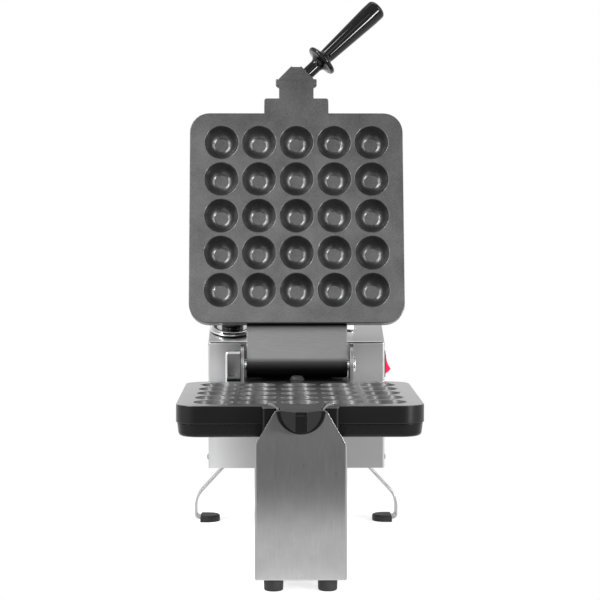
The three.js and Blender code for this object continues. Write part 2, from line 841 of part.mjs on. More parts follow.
function saddle() {
  const outer = saddleInner + saddleThickness;
  const outerLip = lipRadius + saddleThickness;
  const [dip, end] = [saddleDipAngle * degree, lipEndAngle * degree];
  const [x, z] = [(outer + lipRadius) * Math.cos(dip), -(outer + lipRadius) * Math.sin(dip)];
  const shape = new THREE.Shape();
  shape.absarc(0, 0, outer, Math.PI + dip, 2 * Math.PI - dip, false);
  shape.absarc(x, z, lipRadius, Math.PI - dip, end, true);
  shape.absarc(x, z, outerLip, end, Math.PI - dip, false);
  shape.absarc(0, 0, saddleInner, -dip, dip - Math.PI, true);
  shape.absarc(-x, z, outerLip, dip, Math.PI - end, false);
  shape.absarc(-x, z, lipRadius, Math.PI - end, dip, true);
  return extruded('front', shape, [sheet + gap - columnSetback, -tabLength - saddleStandoff], archFacets);
}

function frontFoot() {
  const top = columnBottom - gap;
  return join(
    turned([[0, 0], [footRadius - footRound, 0], [footRadius, footRound], [footRadius, top], [0, top]]),
    bar('z', coverScrewRadius, [top - cutOverrun, columnBottom + sheet + gap], [0, 0, 0], smallFacets));
}

// Spine and riser

function spine() {
  const shell = block([-spineHalf, spineHalf], [sheet + gap - columnSetback, spineEnd],
    [spineBottom, spineTop]);
  const hollow = block([-spineHalf + sheet, spineHalf - sheet],
    [gap - columnSetback, spineEnd + cutOverrun], [spineBottom - cutOverrun, spineTop - sheet]);
  return cut(shell, hollow);
}

function riser() {
  const levels = [spineTop + gap, housingBottom - gap];
  const tube = block([-spineHalf, spineHalf], [riserFront, riserBack], levels);
  const inside = block([-spineHalf + riserWall, spineHalf - riserWall],
    [riserFront + riserWall, riserBack - riserWall], [levels[0] - cutOverrun, levels[1] + cutOverrun]);
  return cut(tube, inside);
}

// Rear legs, drawn for the right-hand side
const ontoSide = (side, body) => (
  side > 0 ? body : solid(geometryOf(body).rotateZ(Math.PI).translate(0, 2 * legCentre, 0)));

function leg(side) {
  const flangeHeight = housingBottom - gap - legSheet / 2;
  const turn = Math.atan2(legElbowHalfSpan - legKneeHalfSpan, flangeHeight - legElbowHeight);
  const shin = legElbowHeight - legFootHeight - legFootRound;
  const elbowRound = Math.min(legElbowRound, shin / Math.tan(turn / 2));
  const shape = strip([[legKneeHalfSpan - legFlangeLength, flangeHeight],
    [legKneeHalfSpan, flangeHeight, legKneeRound], [legElbowHalfSpan, legElbowHeight, elbowRound],
    [legElbowHalfSpan, legFootHeight, legFootRound], [legFootInner, legFootHeight]], legSheet, cornerFacets);
  return ontoSide(side, extruded('front', shape, [legCentre - legWidth / 2, legCentre + legWidth / 2]));
}

function shoe(side) {
  const half = legWidth / 2 + shoeMargin;
  const [shoeInner, shoeOuter] = [legFootInner - shoeLap, legElbowHalfSpan - shoeInset];
  const shape = new THREE.Shape();
  shape.moveTo(shoeOuter, legCentre - half);
  shape.lineTo(shoeOuter, legCentre + half);
  shape.absarc(shoeInner + half, legCentre, half, Math.PI / 2, 1.5 * Math.PI, false);
  const body = extruded('plan', shape, [0, shoeHeight], archFacets);
  const slot = legSheet / 2 + gap;
  const pocket = block([legFootInner - gap, shoeOuter + cutOverrun],
    [legCentre - legWidth / 2 - gap, legCentre + legWidth / 2 + gap],
    [legFootHeight - slot, legFootHeight + slot]);
  return ontoSide(side, cut(body, pocket));
}

// Rear housing

function housingProfile(inset, back, bottom) {
  const slope = Math.tan(housingSlope * degree);
  const front = housingFront + inset;
  const drop = inset / Math.cos(housingSlope * degree);
  const height = (y) => housingFrontTop + (y - housingFront) * slope - drop;
  return outline([[front, bottom], [back, bottom], [back, height(back)], [front, height(front)]]);
}

// Turns a piece drawn upright on the origin so that it stands on the sloping panel
function onSlope(body, across, up) {
  const geometry = geometryOf(body).rotateX(housingSlope * degree);
  const along = housingSlope * degree;
  return solid(geometry.translate(across, housingFront + up * Math.cos(along),
    housingFrontTop + up * Math.sin(along)));
}

function switchHole(clearance) {
  const tall = switchTall / 2 - switchFrameWall + clearance;
  const deep = switchDeep / 2 - switchFrameWall + clearance;
  return block([housingHalf - housingSheet - cutOverrun, housingHalf + cutOverrun],
    [switchBack - deep, switchBack + deep], [switchHeight - tall, switchHeight + tall]);
}

function housingCover() {
  const half = housingHalf;
  const outer = extruded('side', housingProfile(0, housingBack, housingBottom), [-half, half]);
  const inner = extruded('side', housingProfile(housingSheet, housingBack + cutOverrun,
    housingBottom - cutOverrun), [-half + housingSheet, half - housingSheet]);
  const shaft = bar('y', shaftHole, [housingFront - cutOverrun, housingFront + housingSheet + cutOverrun],
    [0, 0, partingHeight]);
  const slopeHole = (radius, across, up) => onSlope(bar('z', radius,
    [-housingSheet * 2, cutOverrun], [0, 0, 0]), across, up);
  const screws = [-half, half].flatMap((x) => coverScrewPlaces.map((y) => bar('x', coverScrewRadius + gap,
    [x - 2 * housingSheet, x + 2 * housingSheet], [0, y, housingBottom + coverScrewRise], smallFacets)));
  return cut(cut(outer, inner), shaft, slopeHole(spindleRadius + gap, knobAcross, knobUpSlope),
    slopeHole(lampRadius + gap, lampAcross, lampUpSlope), switchHole(gap), ...screws);
}

function housingBase() {
  const half = housingHalf - housingSheet - gap;
  const [front, back] = [housingFront + housingSheet + gap, housingBack - housingSheet - gap];
  const tray = block([-half, half], [front, back], [housingBottom, housingBottom + baseFlange]);
  const inside = block([-half + housingSheet, half - housingSheet], [front - cutOverrun, back + cutOverrun],
    [baseTop, housingBottom + baseFlange + cutOverrun]);
  const screws = [-half, half].flatMap((x) => coverScrewPlaces.map((y) => bar('x', coverScrewRadius + gap,
    [x - 2 * housingSheet, x + 2 * housingSheet], [0, y, housingBottom + coverScrewRise], smallFacets)));
  return cut(tray, inside, ...screws);
}

function housingBackPanel() {
  const half = housingHalf - housingSheet - gap;
  const top = housingFrontTop + housingRise - housingSheet / Math.cos(housingSlope * degree)
    - housingSheet * Math.tan(housingSlope * degree) - gap;
  const panel = block([-half, half], [housingBack - housingSheet, housingBack], [housingBottom, top]);
  return cut(panel, bar('y', glandRadius + gap, [housingBack - 2 * housingSheet, housingBack + cutOverrun],
    [glandAcross, 0, housingBottom + glandRise]));
}

// A side screw, drawn at the origin with its head outward on the right-hand side
function coverScrew(side) {
  const seat = housingHalf + gap;
  const [head, tip] = [seat + coverScrewHeadHeight, seat - coverScrewLength];
  const ends = side > 0 ? [[seat, head], [tip, seat + gap]] : [[-head, -seat], [-seat - gap, -tip]];
  return join(bar('x', coverScrewHead, ends[0], [0, 0, 0], smallFacets),
    bar('x', coverScrewRadius, ends[1], [0, 0, 0], smallFacets));
}

// Shaft bearings: a plate on the housing base and a flanged bush in it

const bearingPlaces = {
  front: housingFront + housingSheet + gap + bushFlangeThickness + gap,
  rear: housingFront + rearBearingSetback,
};

function bearingBracket(front) {
  const plate = extruded('front', arch(bearingHalfWidth, baseTop + gap, 0, partingHeight),
    [front, front + bearingPlate], archFacets);
  return cut(plate, bar('y', shaftRadius + bushWall + 2 * gap, [front - cutOverrun,
    front + bearingPlate + cutOverrun], [0, 0, partingHeight]));
}

function bush(front) {
  const outer = shaftRadius + bushWall + gap;
  const [start, end] = [front - gap - bushFlangeThickness, front + bearingPlate];
  const body = join(bar('y', outer, [start, end], [0, 0, partingHeight]),
    bar('y', outer + bushFlange, [start, start + bushFlangeThickness], [0, 0, partingHeight]));
  return cut(body, bar('y', shaftRadius + gap, [start - cutOverrun, end + cutOverrun],
    [0, 0, partingHeight]));
}

function shaftRing() {
  const start = bearingPlaces.rear + bearingPlate + gap;
  const end = start + shaftRingLength;
  const body = bar('y', shaftRadius + gap + shaftRingWall, [start, end], [0, 0, 0]);
  return cut(body, bar('y', shaftRadius + gap, [start - cutOverrun, end + cutOverrun], [0, 0, 0]));
}

// Controls

function knobSkirt() {
  const bore = spindleRadius + gap;
  const rim = skirtRadius - skirtRim;
  const body = turned([[0, 0], [skirtRadius, 0], [skirtRadius, skirtHeight - skirtRim / 2],
    [skirtRadius - skirtRim / 2, skirtHeight], [rim, skirtHeight],
    [rim - skirtRim / 2, skirtHeight - skirtDish],
    [0, skirtHeight - skirtDish]], fineFacets);
  return cut(body, bar('z', bore, [-cutOverrun, skirtHeight + cutOverrun], [0, 0, 0], smallFacets));
}

function knobGrip() {
  const foot = skirtHeight - skirtDish + gap;
  return turned([[0, foot], [gripRadius, foot], [gripRadius, foot + gripHeight - gripDome],
    [gripRadius - gripDome, foot + gripHeight], [0, foot + gripHeight]]);
}

function knobSpindle() {
  const top = skirtHeight - skirtDish;
  return bar('z', spindleRadius, [-spindleLength, top], [0, 0, 0], smallFacets);
}

function thermostatBody() {
  const top = -housingSheet - gap;
  const half = thermostatSize / 2;
  const body = block([-half, half], [-half, half], [top - thermostatHeight, top]);
  return cut(body, bar('z', spindleRadius + gap, [-spindleLength - knobLift - gap, cutOverrun], [0, 0, 0],
    smallFacets));
}

function lampBezel() {
  const seat = gap;
  const body = join(turned([[0, seat], [bezelRadius, seat],
    [bezelRadius - bezelHeight / 2, seat + bezelHeight], [0, seat + bezelHeight]]),
    bar('z', lampRadius, [-bezelBodyLength, seat + gap], [0, 0, 0]));
  return cut(body, bar('z', lampRadius - bezelHeight / 2, [-bezelHeight, seat + bezelHeight + cutOverrun],
    [0, 0, 0]));
}

function lampLens() {
  const radius = lampRadius - bezelHeight / 2 - gap;
  const shoulder = Math.max(bezelHeight, lampRise - radius);
  return turned([[0, -bezelHeight + gap], [radius, -bezelHeight + gap], [radius, shoulder],
    [radius * Math.SQRT1_2, shoulder + (lampRise - shoulder) * Math.SQRT1_2], [0, lampRise]],
  smallFacets);
}

// Rocker switch: a frame with a hollow body behind it, and the rocker in it

function switchFrame() {
  const half = housingHalf;
  const [tall, deep] = [switchTall / 2, switchDeep / 2];
  const inner = switchBodyWall + switchFrameWall;
  const flange = block([half + gap, half + switchFrameProud], [switchBack - deep, switchBack + deep],
    [switchHeight - tall, switchHeight + tall]);
  const body = block([half - switchBodyDepth, half + 2 * gap],
    [switchBack - deep + switchFrameWall, switchBack + deep - switchFrameWall],
    [switchHeight - tall + switchFrameWall, switchHeight + tall - switchFrameWall]);
  const well = block([half - switchBodyDepth + switchBodyWall, half + switchFrameProud + cutOverrun],
    [switchBack - deep + inner, switchBack + deep - inner],
    [switchHeight - tall + inner, switchHeight + tall - inner]);
  return cut(join(flange, body), well);
}

// The rocker is drawn level, about its own pivot, and laid over to the off side
const rockerPivot = [housingHalf + switchFrameProud - rockerDepth / 2, switchBack, switchHeight];

function rockerCap() {
  const wall = switchFrameWall + switchBodyWall + gap;
  const [tall, deep] = [switchTall / 2 - wall, switchDeep / 2 - wall];
  const face = rockerDepth / 2 + rockerProud;
  const [outer, root] = [Math.acos(face / tall), Math.acos(-rockerDepth / 2 / tall)];
  const shape = new THREE.Shape();
  shape.absarc(0, 0, tall, -root, -outer, false);
  shape.quadraticCurveTo(face - 2 * rockerDip, 0, face, tall * Math.sin(outer));
  shape.absarc(0, 0, tall, outer, root, false);
  return extruded('front', shape, [-deep, deep], smallFacets);
}

// Cable gland in the back panel

function cableGland() {
  const wall = housingBack;
  const body = join(
    bar('y', glandRadius, [wall - housingSheet - glandNutLength, wall + glandReach],
      [glandAcross, 0, housingBottom + glandRise]),
    bar('y', glandNutRadius, [wall + gap, wall + gap + glandNutLength],
      [glandAcross, 0, housingBottom + glandRise], nutSides));
  return cut(body, bar('y', glandBore, [wall - housingSheet - glandNutLength - cutOverrun,
    wall + glandReach + cutOverrun], [glandAcross, 0, housingBottom + glandRise], smallFacets));
}

// Putting the pieces together

const cooker = new THREE.Group();
const stand = new THREE.Group();
const irons = new THREE.Group();
irons.position.z = partingHeight;
cooker.add(stand, irons);
cooker.position.y = -(noseFront + glandEnd) / 2;

const support = new THREE.Group();
support.position.z = partingHeight;
stand.add(support);
piece(support, 'column_shell', column(), finishes.stainless);
piece(support, 'saddle_strip', saddle(), finishes.polished);
piece(stand, 'column_back_cover', columnBack(), finishes.stainless);
piece(stand, 'spine_channel', spine(), finishes.stainless);
piece(stand, 'spine_riser', riser(), finishes.stainless);
['left', 'right'].forEach((side, i) => {
  const foot = piece(stand, `front_foot_${side}`, frontFoot(), finishes.rubber);
  foot.position.set(footPlaces[i], footSetback - columnSetback, 0);
  const sign = i ? 1 : -1;
  piece(stand, `rear_leg_${side}`, leg(sign), finishes.stainless);
  piece(stand, `rear_foot_${side}`, shoe(sign), finishes.rubber);
  coverScrewPlaces.forEach((y, j) => {
    const screw = piece(stand, `cover_screw_${side}_${j ? 'back' : 'front'}`, coverScrew(sign),
      finishes.satinSteel);
    screw.position.set(0, y, housingBottom + coverScrewRise);
  });
});

piece(stand, 'housing_cover', housingCover(), finishes.stainless);
piece(stand, 'housing_base', housingBase(), finishes.stainless);
piece(stand, 'housing_back_panel', housingBackPanel(), finishes.stainless);
['front', 'rear'].forEach((place) => {
  piece(stand, `bearing_bracket_${place}`, bearingBracket(bearingPlaces[place]), finishes.satinSteel);
  piece(stand, `shaft_bush_${place}`, bush(bearingPlaces[place]), finishes.bronze);
});

// Inner electrics stand on the base, between the bearings and the sides
const electricsY = housingFront + electricsSetback;
function standingOnBase(width, depth, height, side, placeShare) {
  const room = housingHalf - 2 * housingSheet - gap - bearingHalfWidth;
  const across = side * (bearingHalfWidth + room * placeShare);
  return block([across - width / 2, across + width / 2], [electricsY, electricsY + depth],
    [baseTop + gap, baseTop + gap + height]);
}
piece(stand, 'terminal_block', standingOnBase(terminalWidth, terminalDepth, terminalHeight, 1,
  terminalPlaceShare), finishes.palePlastic);
piece(stand, 'safety_limiter', standingOnBase(limiterWidth, limiterDepth, limiterHeight, -1,
  limiterPlaceShare), finishes.mattPlastic);
piece(stand, 'cable_gland', cableGland(), finishes.mattPlastic);

// A group that stands on the sloping panel, with its own up axis square to it
function slopeGroup(across, up, lift) {
  const group = new THREE.Group();
  const along = housingSlope * degree;
  group.rotation.x = along;
  group.position.set(across, housingFront + up * Math.cos(along) - lift * Math.sin(along),
    housingFrontTop + up * Math.sin(along) + lift * Math.cos(along));
  stand.add(group);
  return group;
}

const thermostat = slopeGroup(knobAcross, knobUpSlope, 0);
piece(thermostat, 'thermostat_body', thermostatBody(), finishes.mattPlastic);
const knob = slopeGroup(knobAcross, knobUpSlope, knobLift);
piece(knob, 'knob_skirt', knobSkirt(), finishes.polished);
piece(knob, 'knob_grip', knobGrip(), finishes.blackPlastic);
piece(knob, 'knob_spindle', knobSpindle(), finishes.satinSteel);
const lamp = slopeGroup(lampAcross, lampUpSlope, 0);
piece(lamp, 'pilot_lamp_bezel', lampBezel(), finishes.polished);
piece(lamp, 'pilot_lamp_lens', lampLens(), finishes.lens);

piece(stand, 'switch_frame', switchFrame(), finishes.mattPlastic);
const rocker = piece(stand, 'rocker_cap', rockerCap(), finishes.redPlastic);
rocker.position.set(...rockerPivot);
rocker.rotation.y = -rockerTilt * degree;

addIron(irons, 'lower', grillPlate(), armFlangeThickness);
piece(irons, 'carrier_yoke', yoke(), finishes.satinSteel);
piece(irons, 'wire_duct', wireDuct(), finishes.polished);
piece(irons, 'hinge_pin', hingePin(), finishes.polished);
piece(irons, 'hinge_pin_nut', pinNut(), finishes.satinSteel);
const stop = piece(irons, 'closing_bumper', bumper(), finishes.rubber);
stop.position.y = ironSize + bumperSetback;
piece(irons, 'turning_shaft', turningShaft(), finishes.satinSteel);
piece(irons, 'shaft_ring', shaftRing(), finishes.satinSteel);

// The lid is drawn closed and swung open about the hinge pin
const lid = new THREE.Group();
lid.position.set(0, hingeY, hingeRise);
lid.rotation.x = -(Math.PI / 2 + lidLean * degree);
irons.add(lid);
const closedLid = new THREE.Group();
closedLid.position.set(0, -hingeY, -hingeRise);
lid.add(closedLid);
const upperIron = new THREE.Group();
upperIron.rotation.y = Math.PI;
closedLid.add(upperIron);
addIron(upperIron, 'upper', cut(grillPlate(), studHole()), armFlangeThickness);
piece(closedLid, 'hinge_arm', hingeArm(), finishes.satinSteel);

const handle = new THREE.Group();
handle.position.set(studX, studY, studRise);
handle.quaternion.setFromUnitVectors(upward,
  new THREE.Vector3(Math.cos(noseAngle * degree), -Math.sin(noseAngle * degree), 0));
closedLid.add(handle);
piece(handle, 'handle_stud', handleStud(), finishes.polished);
const grip = piece(handle, 'handle_grip', handleGrip(), finishes.blackPlastic);
grip.position.z = studBossLength;

export default cooker;
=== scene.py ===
"""Visible pieces, finishes, lamps and camera of a countertop waffle ball iron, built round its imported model.

Lengths are in millimetres up to the last step of each piece, which sets them to metres.
"""
import json
from math import acos, asin, atan2, copysign, cos, hypot, pi, radians, sin, tan

import bmesh
import bpy
from bpy.props import FloatProperty, FloatVectorProperty, IntProperty, PointerProperty
from mathutils import Matrix, Vector


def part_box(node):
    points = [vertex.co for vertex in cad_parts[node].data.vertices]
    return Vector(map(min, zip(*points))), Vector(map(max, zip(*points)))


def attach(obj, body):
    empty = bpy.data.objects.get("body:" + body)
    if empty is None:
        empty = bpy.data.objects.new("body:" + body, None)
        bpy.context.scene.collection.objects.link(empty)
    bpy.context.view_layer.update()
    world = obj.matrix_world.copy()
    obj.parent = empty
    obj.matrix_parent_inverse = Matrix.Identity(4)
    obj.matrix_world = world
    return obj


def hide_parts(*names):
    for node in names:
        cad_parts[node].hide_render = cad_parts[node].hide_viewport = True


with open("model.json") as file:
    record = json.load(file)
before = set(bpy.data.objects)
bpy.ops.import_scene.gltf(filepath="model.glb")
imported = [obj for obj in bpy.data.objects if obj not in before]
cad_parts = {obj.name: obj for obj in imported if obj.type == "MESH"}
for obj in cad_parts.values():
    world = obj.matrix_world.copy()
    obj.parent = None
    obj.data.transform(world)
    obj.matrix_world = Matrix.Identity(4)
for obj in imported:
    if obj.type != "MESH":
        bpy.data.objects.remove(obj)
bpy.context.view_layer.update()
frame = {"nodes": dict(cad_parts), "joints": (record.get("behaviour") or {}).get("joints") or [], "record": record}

bl_info = {
    "name": "Waffle ball iron",
    "version": (1, 0, 0),
    "blender": (4, 5, 0),
    "location": "3D View > Sidebar > Waffle iron",
    "description": "Builds the visible pieces and finishes of a countertop waffle ball iron",
    "category": "Object",
}

MM = 0.001
X, Y, Z = 0, 1, 2


def low(node, axis):
    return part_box(node)[0][axis] / MM


def high(node, axis):
    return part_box(node)[1][axis] / MM


def middle(node, axis):
    return (low(node, axis) + high(node, axis)) / 2


def half_size(node, axis):
    return (high(node, axis) - low(node, axis)) / 2


def limits(node, origin=(0, 0, 0)):
    """A node's pairs of limits along the three axes, measured from an origin."""
    return [(low(node, axis) - origin[axis], high(node, axis) - origin[axis]) for axis in (X, Y, Z)]


def joint_named(name):
    return next(joint for joint in frame["joints"] if joint["name"] == name)


# Clearances, roundings and fineness
FACE_GAP = 0.15
SEAT_GAP = 0.3
OVERRUN = 1.0
WELD = 1e-4
CUT_EDGE = 0.3
FOLDED_EDGE = 0.25
SMOOTH_ANGLE = radians(40)
EDGE_ANGLE = radians(30)
FINE_STEPS = 96
ROUND_STEPS = 64
SMALL_STEPS = 32
CORNER_STEPS = 8

# Irons, from the frame
IRON_HALF = high("lower_grill_plate", X)
IRON_SIZE = 2 * IRON_HALF
IRON_FRONT = high("lower_grill_plate", Y) - IRON_SIZE
PARTING = high("lower_grill_plate", Z) + FACE_GAP
PLATE_THICKNESS = PARTING - high("lower_heating_case", Z) - SEAT_GAP
IRON_DEPTH = PARTING - low("lower_heating_case", Z)
IRON_ORIGIN = (0, IRON_FRONT, PARTING)
IRON_CORNER = 22
PLATE_RIM = 0.9
PLATE_HEEL = 0.6
RIM_REACH = 5

# Half balls
BALL_SHIFT = -1.5
BALL_FLOOR_EASE = 2.5
BALL_STEPS = 48
BALL_WALL_STEPS = 12
BALL_START_SLOPE = 0.4
BALL_END_SLOPE = 2.9
BALL_LAND = 0.1

# Journal at the front of each plate
TAB_HALF = 36.3
TAB_LENGTH = 17.4
TAB_HEIGHT = 24
TAB_CORNER = 2.8
TAB_EDGE = 0.9
NECK_RADIUS = 19.5
COLLAR_RADIUS = 23.3
NECK_FRONT = -31.8
COLLAR_FRONT = -40
COLLAR_EDGE = 1.1
NOSE_FRONT = low("lower_grill_plate", Y) - IRON_FRONT
NOSE_HALF = 5.4
NOSE_ANGLE = radians(44)
NOSE_EDGE = 0.5
NOTCH_HEIGHT = 3.5
NOTCH_DEPTH = 2

# Heating cases
CASE_INSET = 1
CASE_TAPER = 1.5
CASE_ROUND = 4
CASE_WALL = 3
CASE_LIP = 0.8
CASE_STEPS = 160

# Hinge
hinge_joint = joint_named("lid_hinge")
HINGE = Vector(hinge_joint["pos_m"]) / MM
OPEN_ANGLE = radians(hinge_joint["range_deg"][1])
HINGE_BACK = HINGE.y - IRON_FRONT
HINGE_RISE = HINGE.z - PARTING
PIN_CENTRE = (HINGE_BACK, HINGE_RISE)
ARM_HALF = high("hinge_arm", X)
BARREL_RADIUS = 14
ARM_ROOT_LOW = 9
ARM_FLANGE = 3
ARM_FLANGE_FRONT = 165
ARM_EDGE = 0.5
PIN_RADIUS = 6
PIN_HEAD_RADIUS = 9
PIN_HEAD_HEIGHT = 2.4
EAR_RADIUS = 24
DUCT_WALL = 1.5
DUCT_BEND = 3
SHAFT_RADIUS = 17
SHAFT_BORE = 11
HUB_RADIUS = 34
HUB_THICKNESS = 6

# Handle, from its seat on the nose
HANDLE_ACROSS = (NECK_RADIUS + NOSE_HALF) / 2
HANDLE_BACK = NOSE_FRONT + (NECK_RADIUS - NOSE_HALF) / 2 / tan(NOSE_ANGLE)
HANDLE_RISE = 7.6
BOSS_RADIUS = 6.4
BOSS_LENGTH = 4
END_POWER = 2 / 2.5
END_LENGTH = 6.5

# Front column, saddle and feet
COLUMN_HALF = high("column_shell", X)
COLUMN_FRONT = low("column_shell", Y)
COLUMN_BACK = high("column_shell", Y)
COLUMN_FOOT = low("column_shell", Z)
COLUMN_TOP = high("column_shell", Z)
COLUMN_SHEET = 2
SHOULDER = PARTING - 34.5
SHOULDER_ROUND = 12
HORN_HALF = 24
CRADLE_RADIUS = 21.8
CHEEK_TOP = SHOULDER - SHOULDER_ROUND
CHEEK_NECK = COLUMN_FRONT + 12
COVER_TOP = high("column_back_cover", Z)
SADDLE_RADIUS = 20.75
SADDLE_SHEET = 1.5
SADDLE_LIP = 9.75
SADDLE_DIP = radians(10)
SADDLE_LIP_END = radians(85)

# Spine, riser, legs and their shoes
SPINE_BEND = 2.4
RISER_WALL = 3
RISER_CORNER = 5
LEG_SHEET = 2.4
LEG_HALF = half_size("rear_leg_right", Y)
LEG_MIDDLE = middle("rear_leg_right", Y)
LEG_OUTER = high("rear_leg_right", X) - LEG_SHEET / 2
LEG_TOP = high("rear_leg_right", Z) - LEG_SHEET / 2
LEG_FLANGE = 23.2
LEG_KNEE = high("housing_cover", X) - 18.6
LEG_KNEE_ROUND = 8
LEG_ELBOW = 29
LEG_ELBOW_ROUND = 30
LEG_FOOT = 4.6
LEG_FOOT_ROUND = 4.5
LEG_FOOT_END = LEG_OUTER - 18
SHOE_ROUND = 2

# Housing and what it carries
HOUSING_HALF = high("housing_cover", X)
HOUSING_FRONT = low("housing_cover", Y)
HOUSING_BACK = high("housing_cover", Y)
HOUSING_FOOT = low("housing_cover", Z)
HOUSING_SHEET = 1.5
HOUSING_BEND = 2.6
BASE_BEND = 2.2
SLOPE = radians(16)
SLOPE_FOOT = high("housing_cover", Z) - (HOUSING_BACK - HOUSING_FRONT) * tan(SLOPE)
KNOB_UP = 38.5
KNOB_LIFT = 0.8
SKIRT_RADIUS = 26
SKIRT_HEIGHT = 5
GRIP_RADIUS = 12.4
GRIP_FOOT = 3.3
GRIP_HEIGHT = 20
GRIP_RIBS = 20
GRIP_GROOVE = 0.45
SPINDLE_HOLE = 3
LAMP_UP = 41
BEZEL_RADIUS = 6.5
LENS_RADIUS = 3.8
LENS_RIBS = 12
LENS_GROOVE = 0.25
LAMP_HEIGHT = 8
LAMP_HOLE = 5
SWITCH_WALL = 2.7
ROCKER_PROUD = 3.9
ROCKER_DEPTH = 9
ROCKER_DIP = 1.4
SHAFT_HOLE = 18
GLAND_BODY = 9
GLAND_BORE = 4
GLAND_NUT = 12
GLAND_NUT_HEIGHT = 7

# Screws, each by its head's radius and height, its shank's radius and its length
COVER_SCREW = (3.4, 1.6, 2, 5)
CASE_SCREW = (5, 2.4, 2.5, 6)

iron = Matrix.Translation(IRON_ORIGIN)
swing = Matrix.Translation(HINGE) @ Matrix.Rotation(-OPEN_ANGLE, 4, "X") @ Matrix.Translation(-HINGE)
closed_lid = swing @ iron
upper_iron = closed_lid @ Matrix.Rotation(pi, 4, "Y")
level = Matrix.Identity(4)
along_pin = Matrix.Translation((0, *PIN_CENTRE)) @ Matrix.Rotation(pi / 2, 4, "Y")
IRONS = (("lower", iron, "carrier"), ("upper", upper_iron, "lid"))


# Outlines and solids

def rounded(corners, steps=CORNER_STEPS, closed=True):
    """Points of an outline given by corners of across, up and an optional rounding."""
    points = []
    last = len(corners) - 1
    for i, (x, y, *rest) in enumerate(corners):
        here = Vector((x, y))
        if not rest or not closed and i in (0, last):
            points.append(here)
            continue
        radius = rest[0]
        before = (Vector(corners[i - 1][:2]) - here).normalized()
        after = (Vector(corners[0 if i == last else i + 1][:2]) - here).normalized()
        half = before.angle(after) / 2
        centre = here + (before + after).normalized() * radius / sin(half)
        start = here + before * radius / tan(half) - centre
        end = here + after * radius / tan(half) - centre
        turn = atan2(start.x * end.y - start.y * end.x, start.dot(end))
        for step in range(steps + 1):
            a = turn * step / steps
            points.append(centre + Vector((start.x * cos(a) - start.y * sin(a),
                                           start.x * sin(a) + start.y * cos(a))))
    return points


def arc(radius, start, end, steps, centre=(0, 0)):
    """Points on a circle from one angle to another."""
    turns = [start + (end - start) * step / steps for step in range(steps + 1)]
    return [Vector((centre[0] + radius * cos(a), centre[1] + radius * sin(a))) for a in turns]


def mirrored(points):
    return [Vector((-point.x, point.y)) for point in reversed(points)]


def between(steps):
    """Even shares of one, without its two ends."""
    return [step / steps for step in range(1, steps)]


def once_round(steps, start=0):
    """The angles of even steps once round."""
    return [start + 2 * pi * step / steps for step in range(steps)]


def rectangle(across, up, corner, inset=0, steps=6):
    """A rectangle between pairs of limits, drawn in by an inset, with rounded corners."""
    left, right = across[0] + inset, across[1] - inset
    foot, top = up[0] + inset, up[1] - inset
    return rounded([(left, foot, corner), (right, foot, corner), (right, top, corner), (left, top, corner)],
                   steps)


def folded(edge, face, half, sheet, bend, steps=5):
    """The outline of a sheet whose sides are folded from its face back to an edge."""
    outer, inner = [
        rounded([(half - inset, edge), (half - inset, face + copysign(inset, edge - face), bend - inset),
                 (0, face + copysign(inset, edge - face))], steps, closed=False)[:-1]
        for inset in (0, sheet)]
    return outer + mirrored(outer) + mirrored(inner[::-1]) + inner[::-1]


def skin(rings, loop=False, caps=True):
    """A surface through rings of like points, where a ring of one point is a pole."""
    shape = bmesh.new()
    rows = [[shape.verts.new(point) for point in ring] for ring in rings]
    pairs = list(zip(rows, rows[1:])) + ([(rows[-1], rows[0])] if loop else [])
    for one, two in pairs:
        count = max(len(one), len(two))
        for i in range(count):
            j = (i + 1) % count
            if len(one) == 1:
                shape.faces.new((one[0], two[i], two[j]))
            elif len(two) == 1:
                shape.faces.new((one[i], two[0], one[j]))
            else:
                shape.faces.new((one[i], two[i], two[j], one[j]))
    if caps and not loop:
        for row in (rows[0], rows[-1]):
            if len(row) > 2:
                shape.faces.new(row)
    bmesh.ops.recalc_face_normals(shape, faces=shape.faces)
    return shape


VIEWS = {
    "plan": lambda u, v, w: (u, v, w),
    "side": lambda u, v, w: (w, u, v),
    "front": lambda u, v, w: (u, w, v),
}


def prism(view, outline, start, end):
    """A shape drawn in plan, from the side or from the front, made thick along the third axis."""
    return skin([[VIEWS[view](u, v, w) for u, v in outline] for w in (start, end)])


def turned_rings(profile, turns):
    """Rings round the up axis at pairs of radius and height, with a pole where the radius is nothing."""
    return [[(r * cos(a), r * sin(a), h) for a in turns] if r else [(0, 0, h)] for r, h in profile]


def ribbed_rings(levels, turns, groove):
    """Rings at triples of radius, height and share of a groove, whose depth follows the angle."""
    return [[((r - share * groove(a)) * cos(a), (r - share * groove(a)) * sin(a), h) for a in turns]
            for r, h, share in levels]


def turned(profile, steps=ROUND_STEPS, loop=False):
    """A turned piece on the up axis, from pairs of radius and height."""
    return skin(turned_rings(profile, once_round(steps)), loop)


def lathed(corners, ease=5, steps=ROUND_STEPS):
    """A turned piece from corners with roundings, which close round a bore where they start off the axis."""
    bored = corners[0][0] > 0
    return turned(rounded(corners, ease, closed=bored), steps, bored)


def block(across, back, up):
    """A box between pairs of limits."""
    corners = [(across[0], back[0]), (across[1], back[0]), (across[1], back[1]), (across[0], back[1])]
    return prism("plan", corners, *up)


def bar(view, radius, start, end, centre=(0, 0), steps=ROUND_STEPS):
    """A round bar along the axis that a view looks along."""
    return prism(view, arc(radius, 0, 2 * pi, steps, centre)[:-1], start, end)


def ends(edge, axis):
    return [vertex.co[axis] for vertex in edge.verts]


def soften(shape, width, steps=3, where=None, clamp=True):
    """Rounds the sharp edges, or those that a test picks."""
    edges = [edge for edge in shape.edges if len(edge.link_faces) == 2
             and edge.calc_face_angle(0) > EDGE_ANGLE and (where is None or where(edge))]
    bmesh.ops.bevel(shape, geom=edges, offset=width, segments=steps, profile=0.5, affect="EDGES",
                    clamp_overlap=clamp)
    return shape


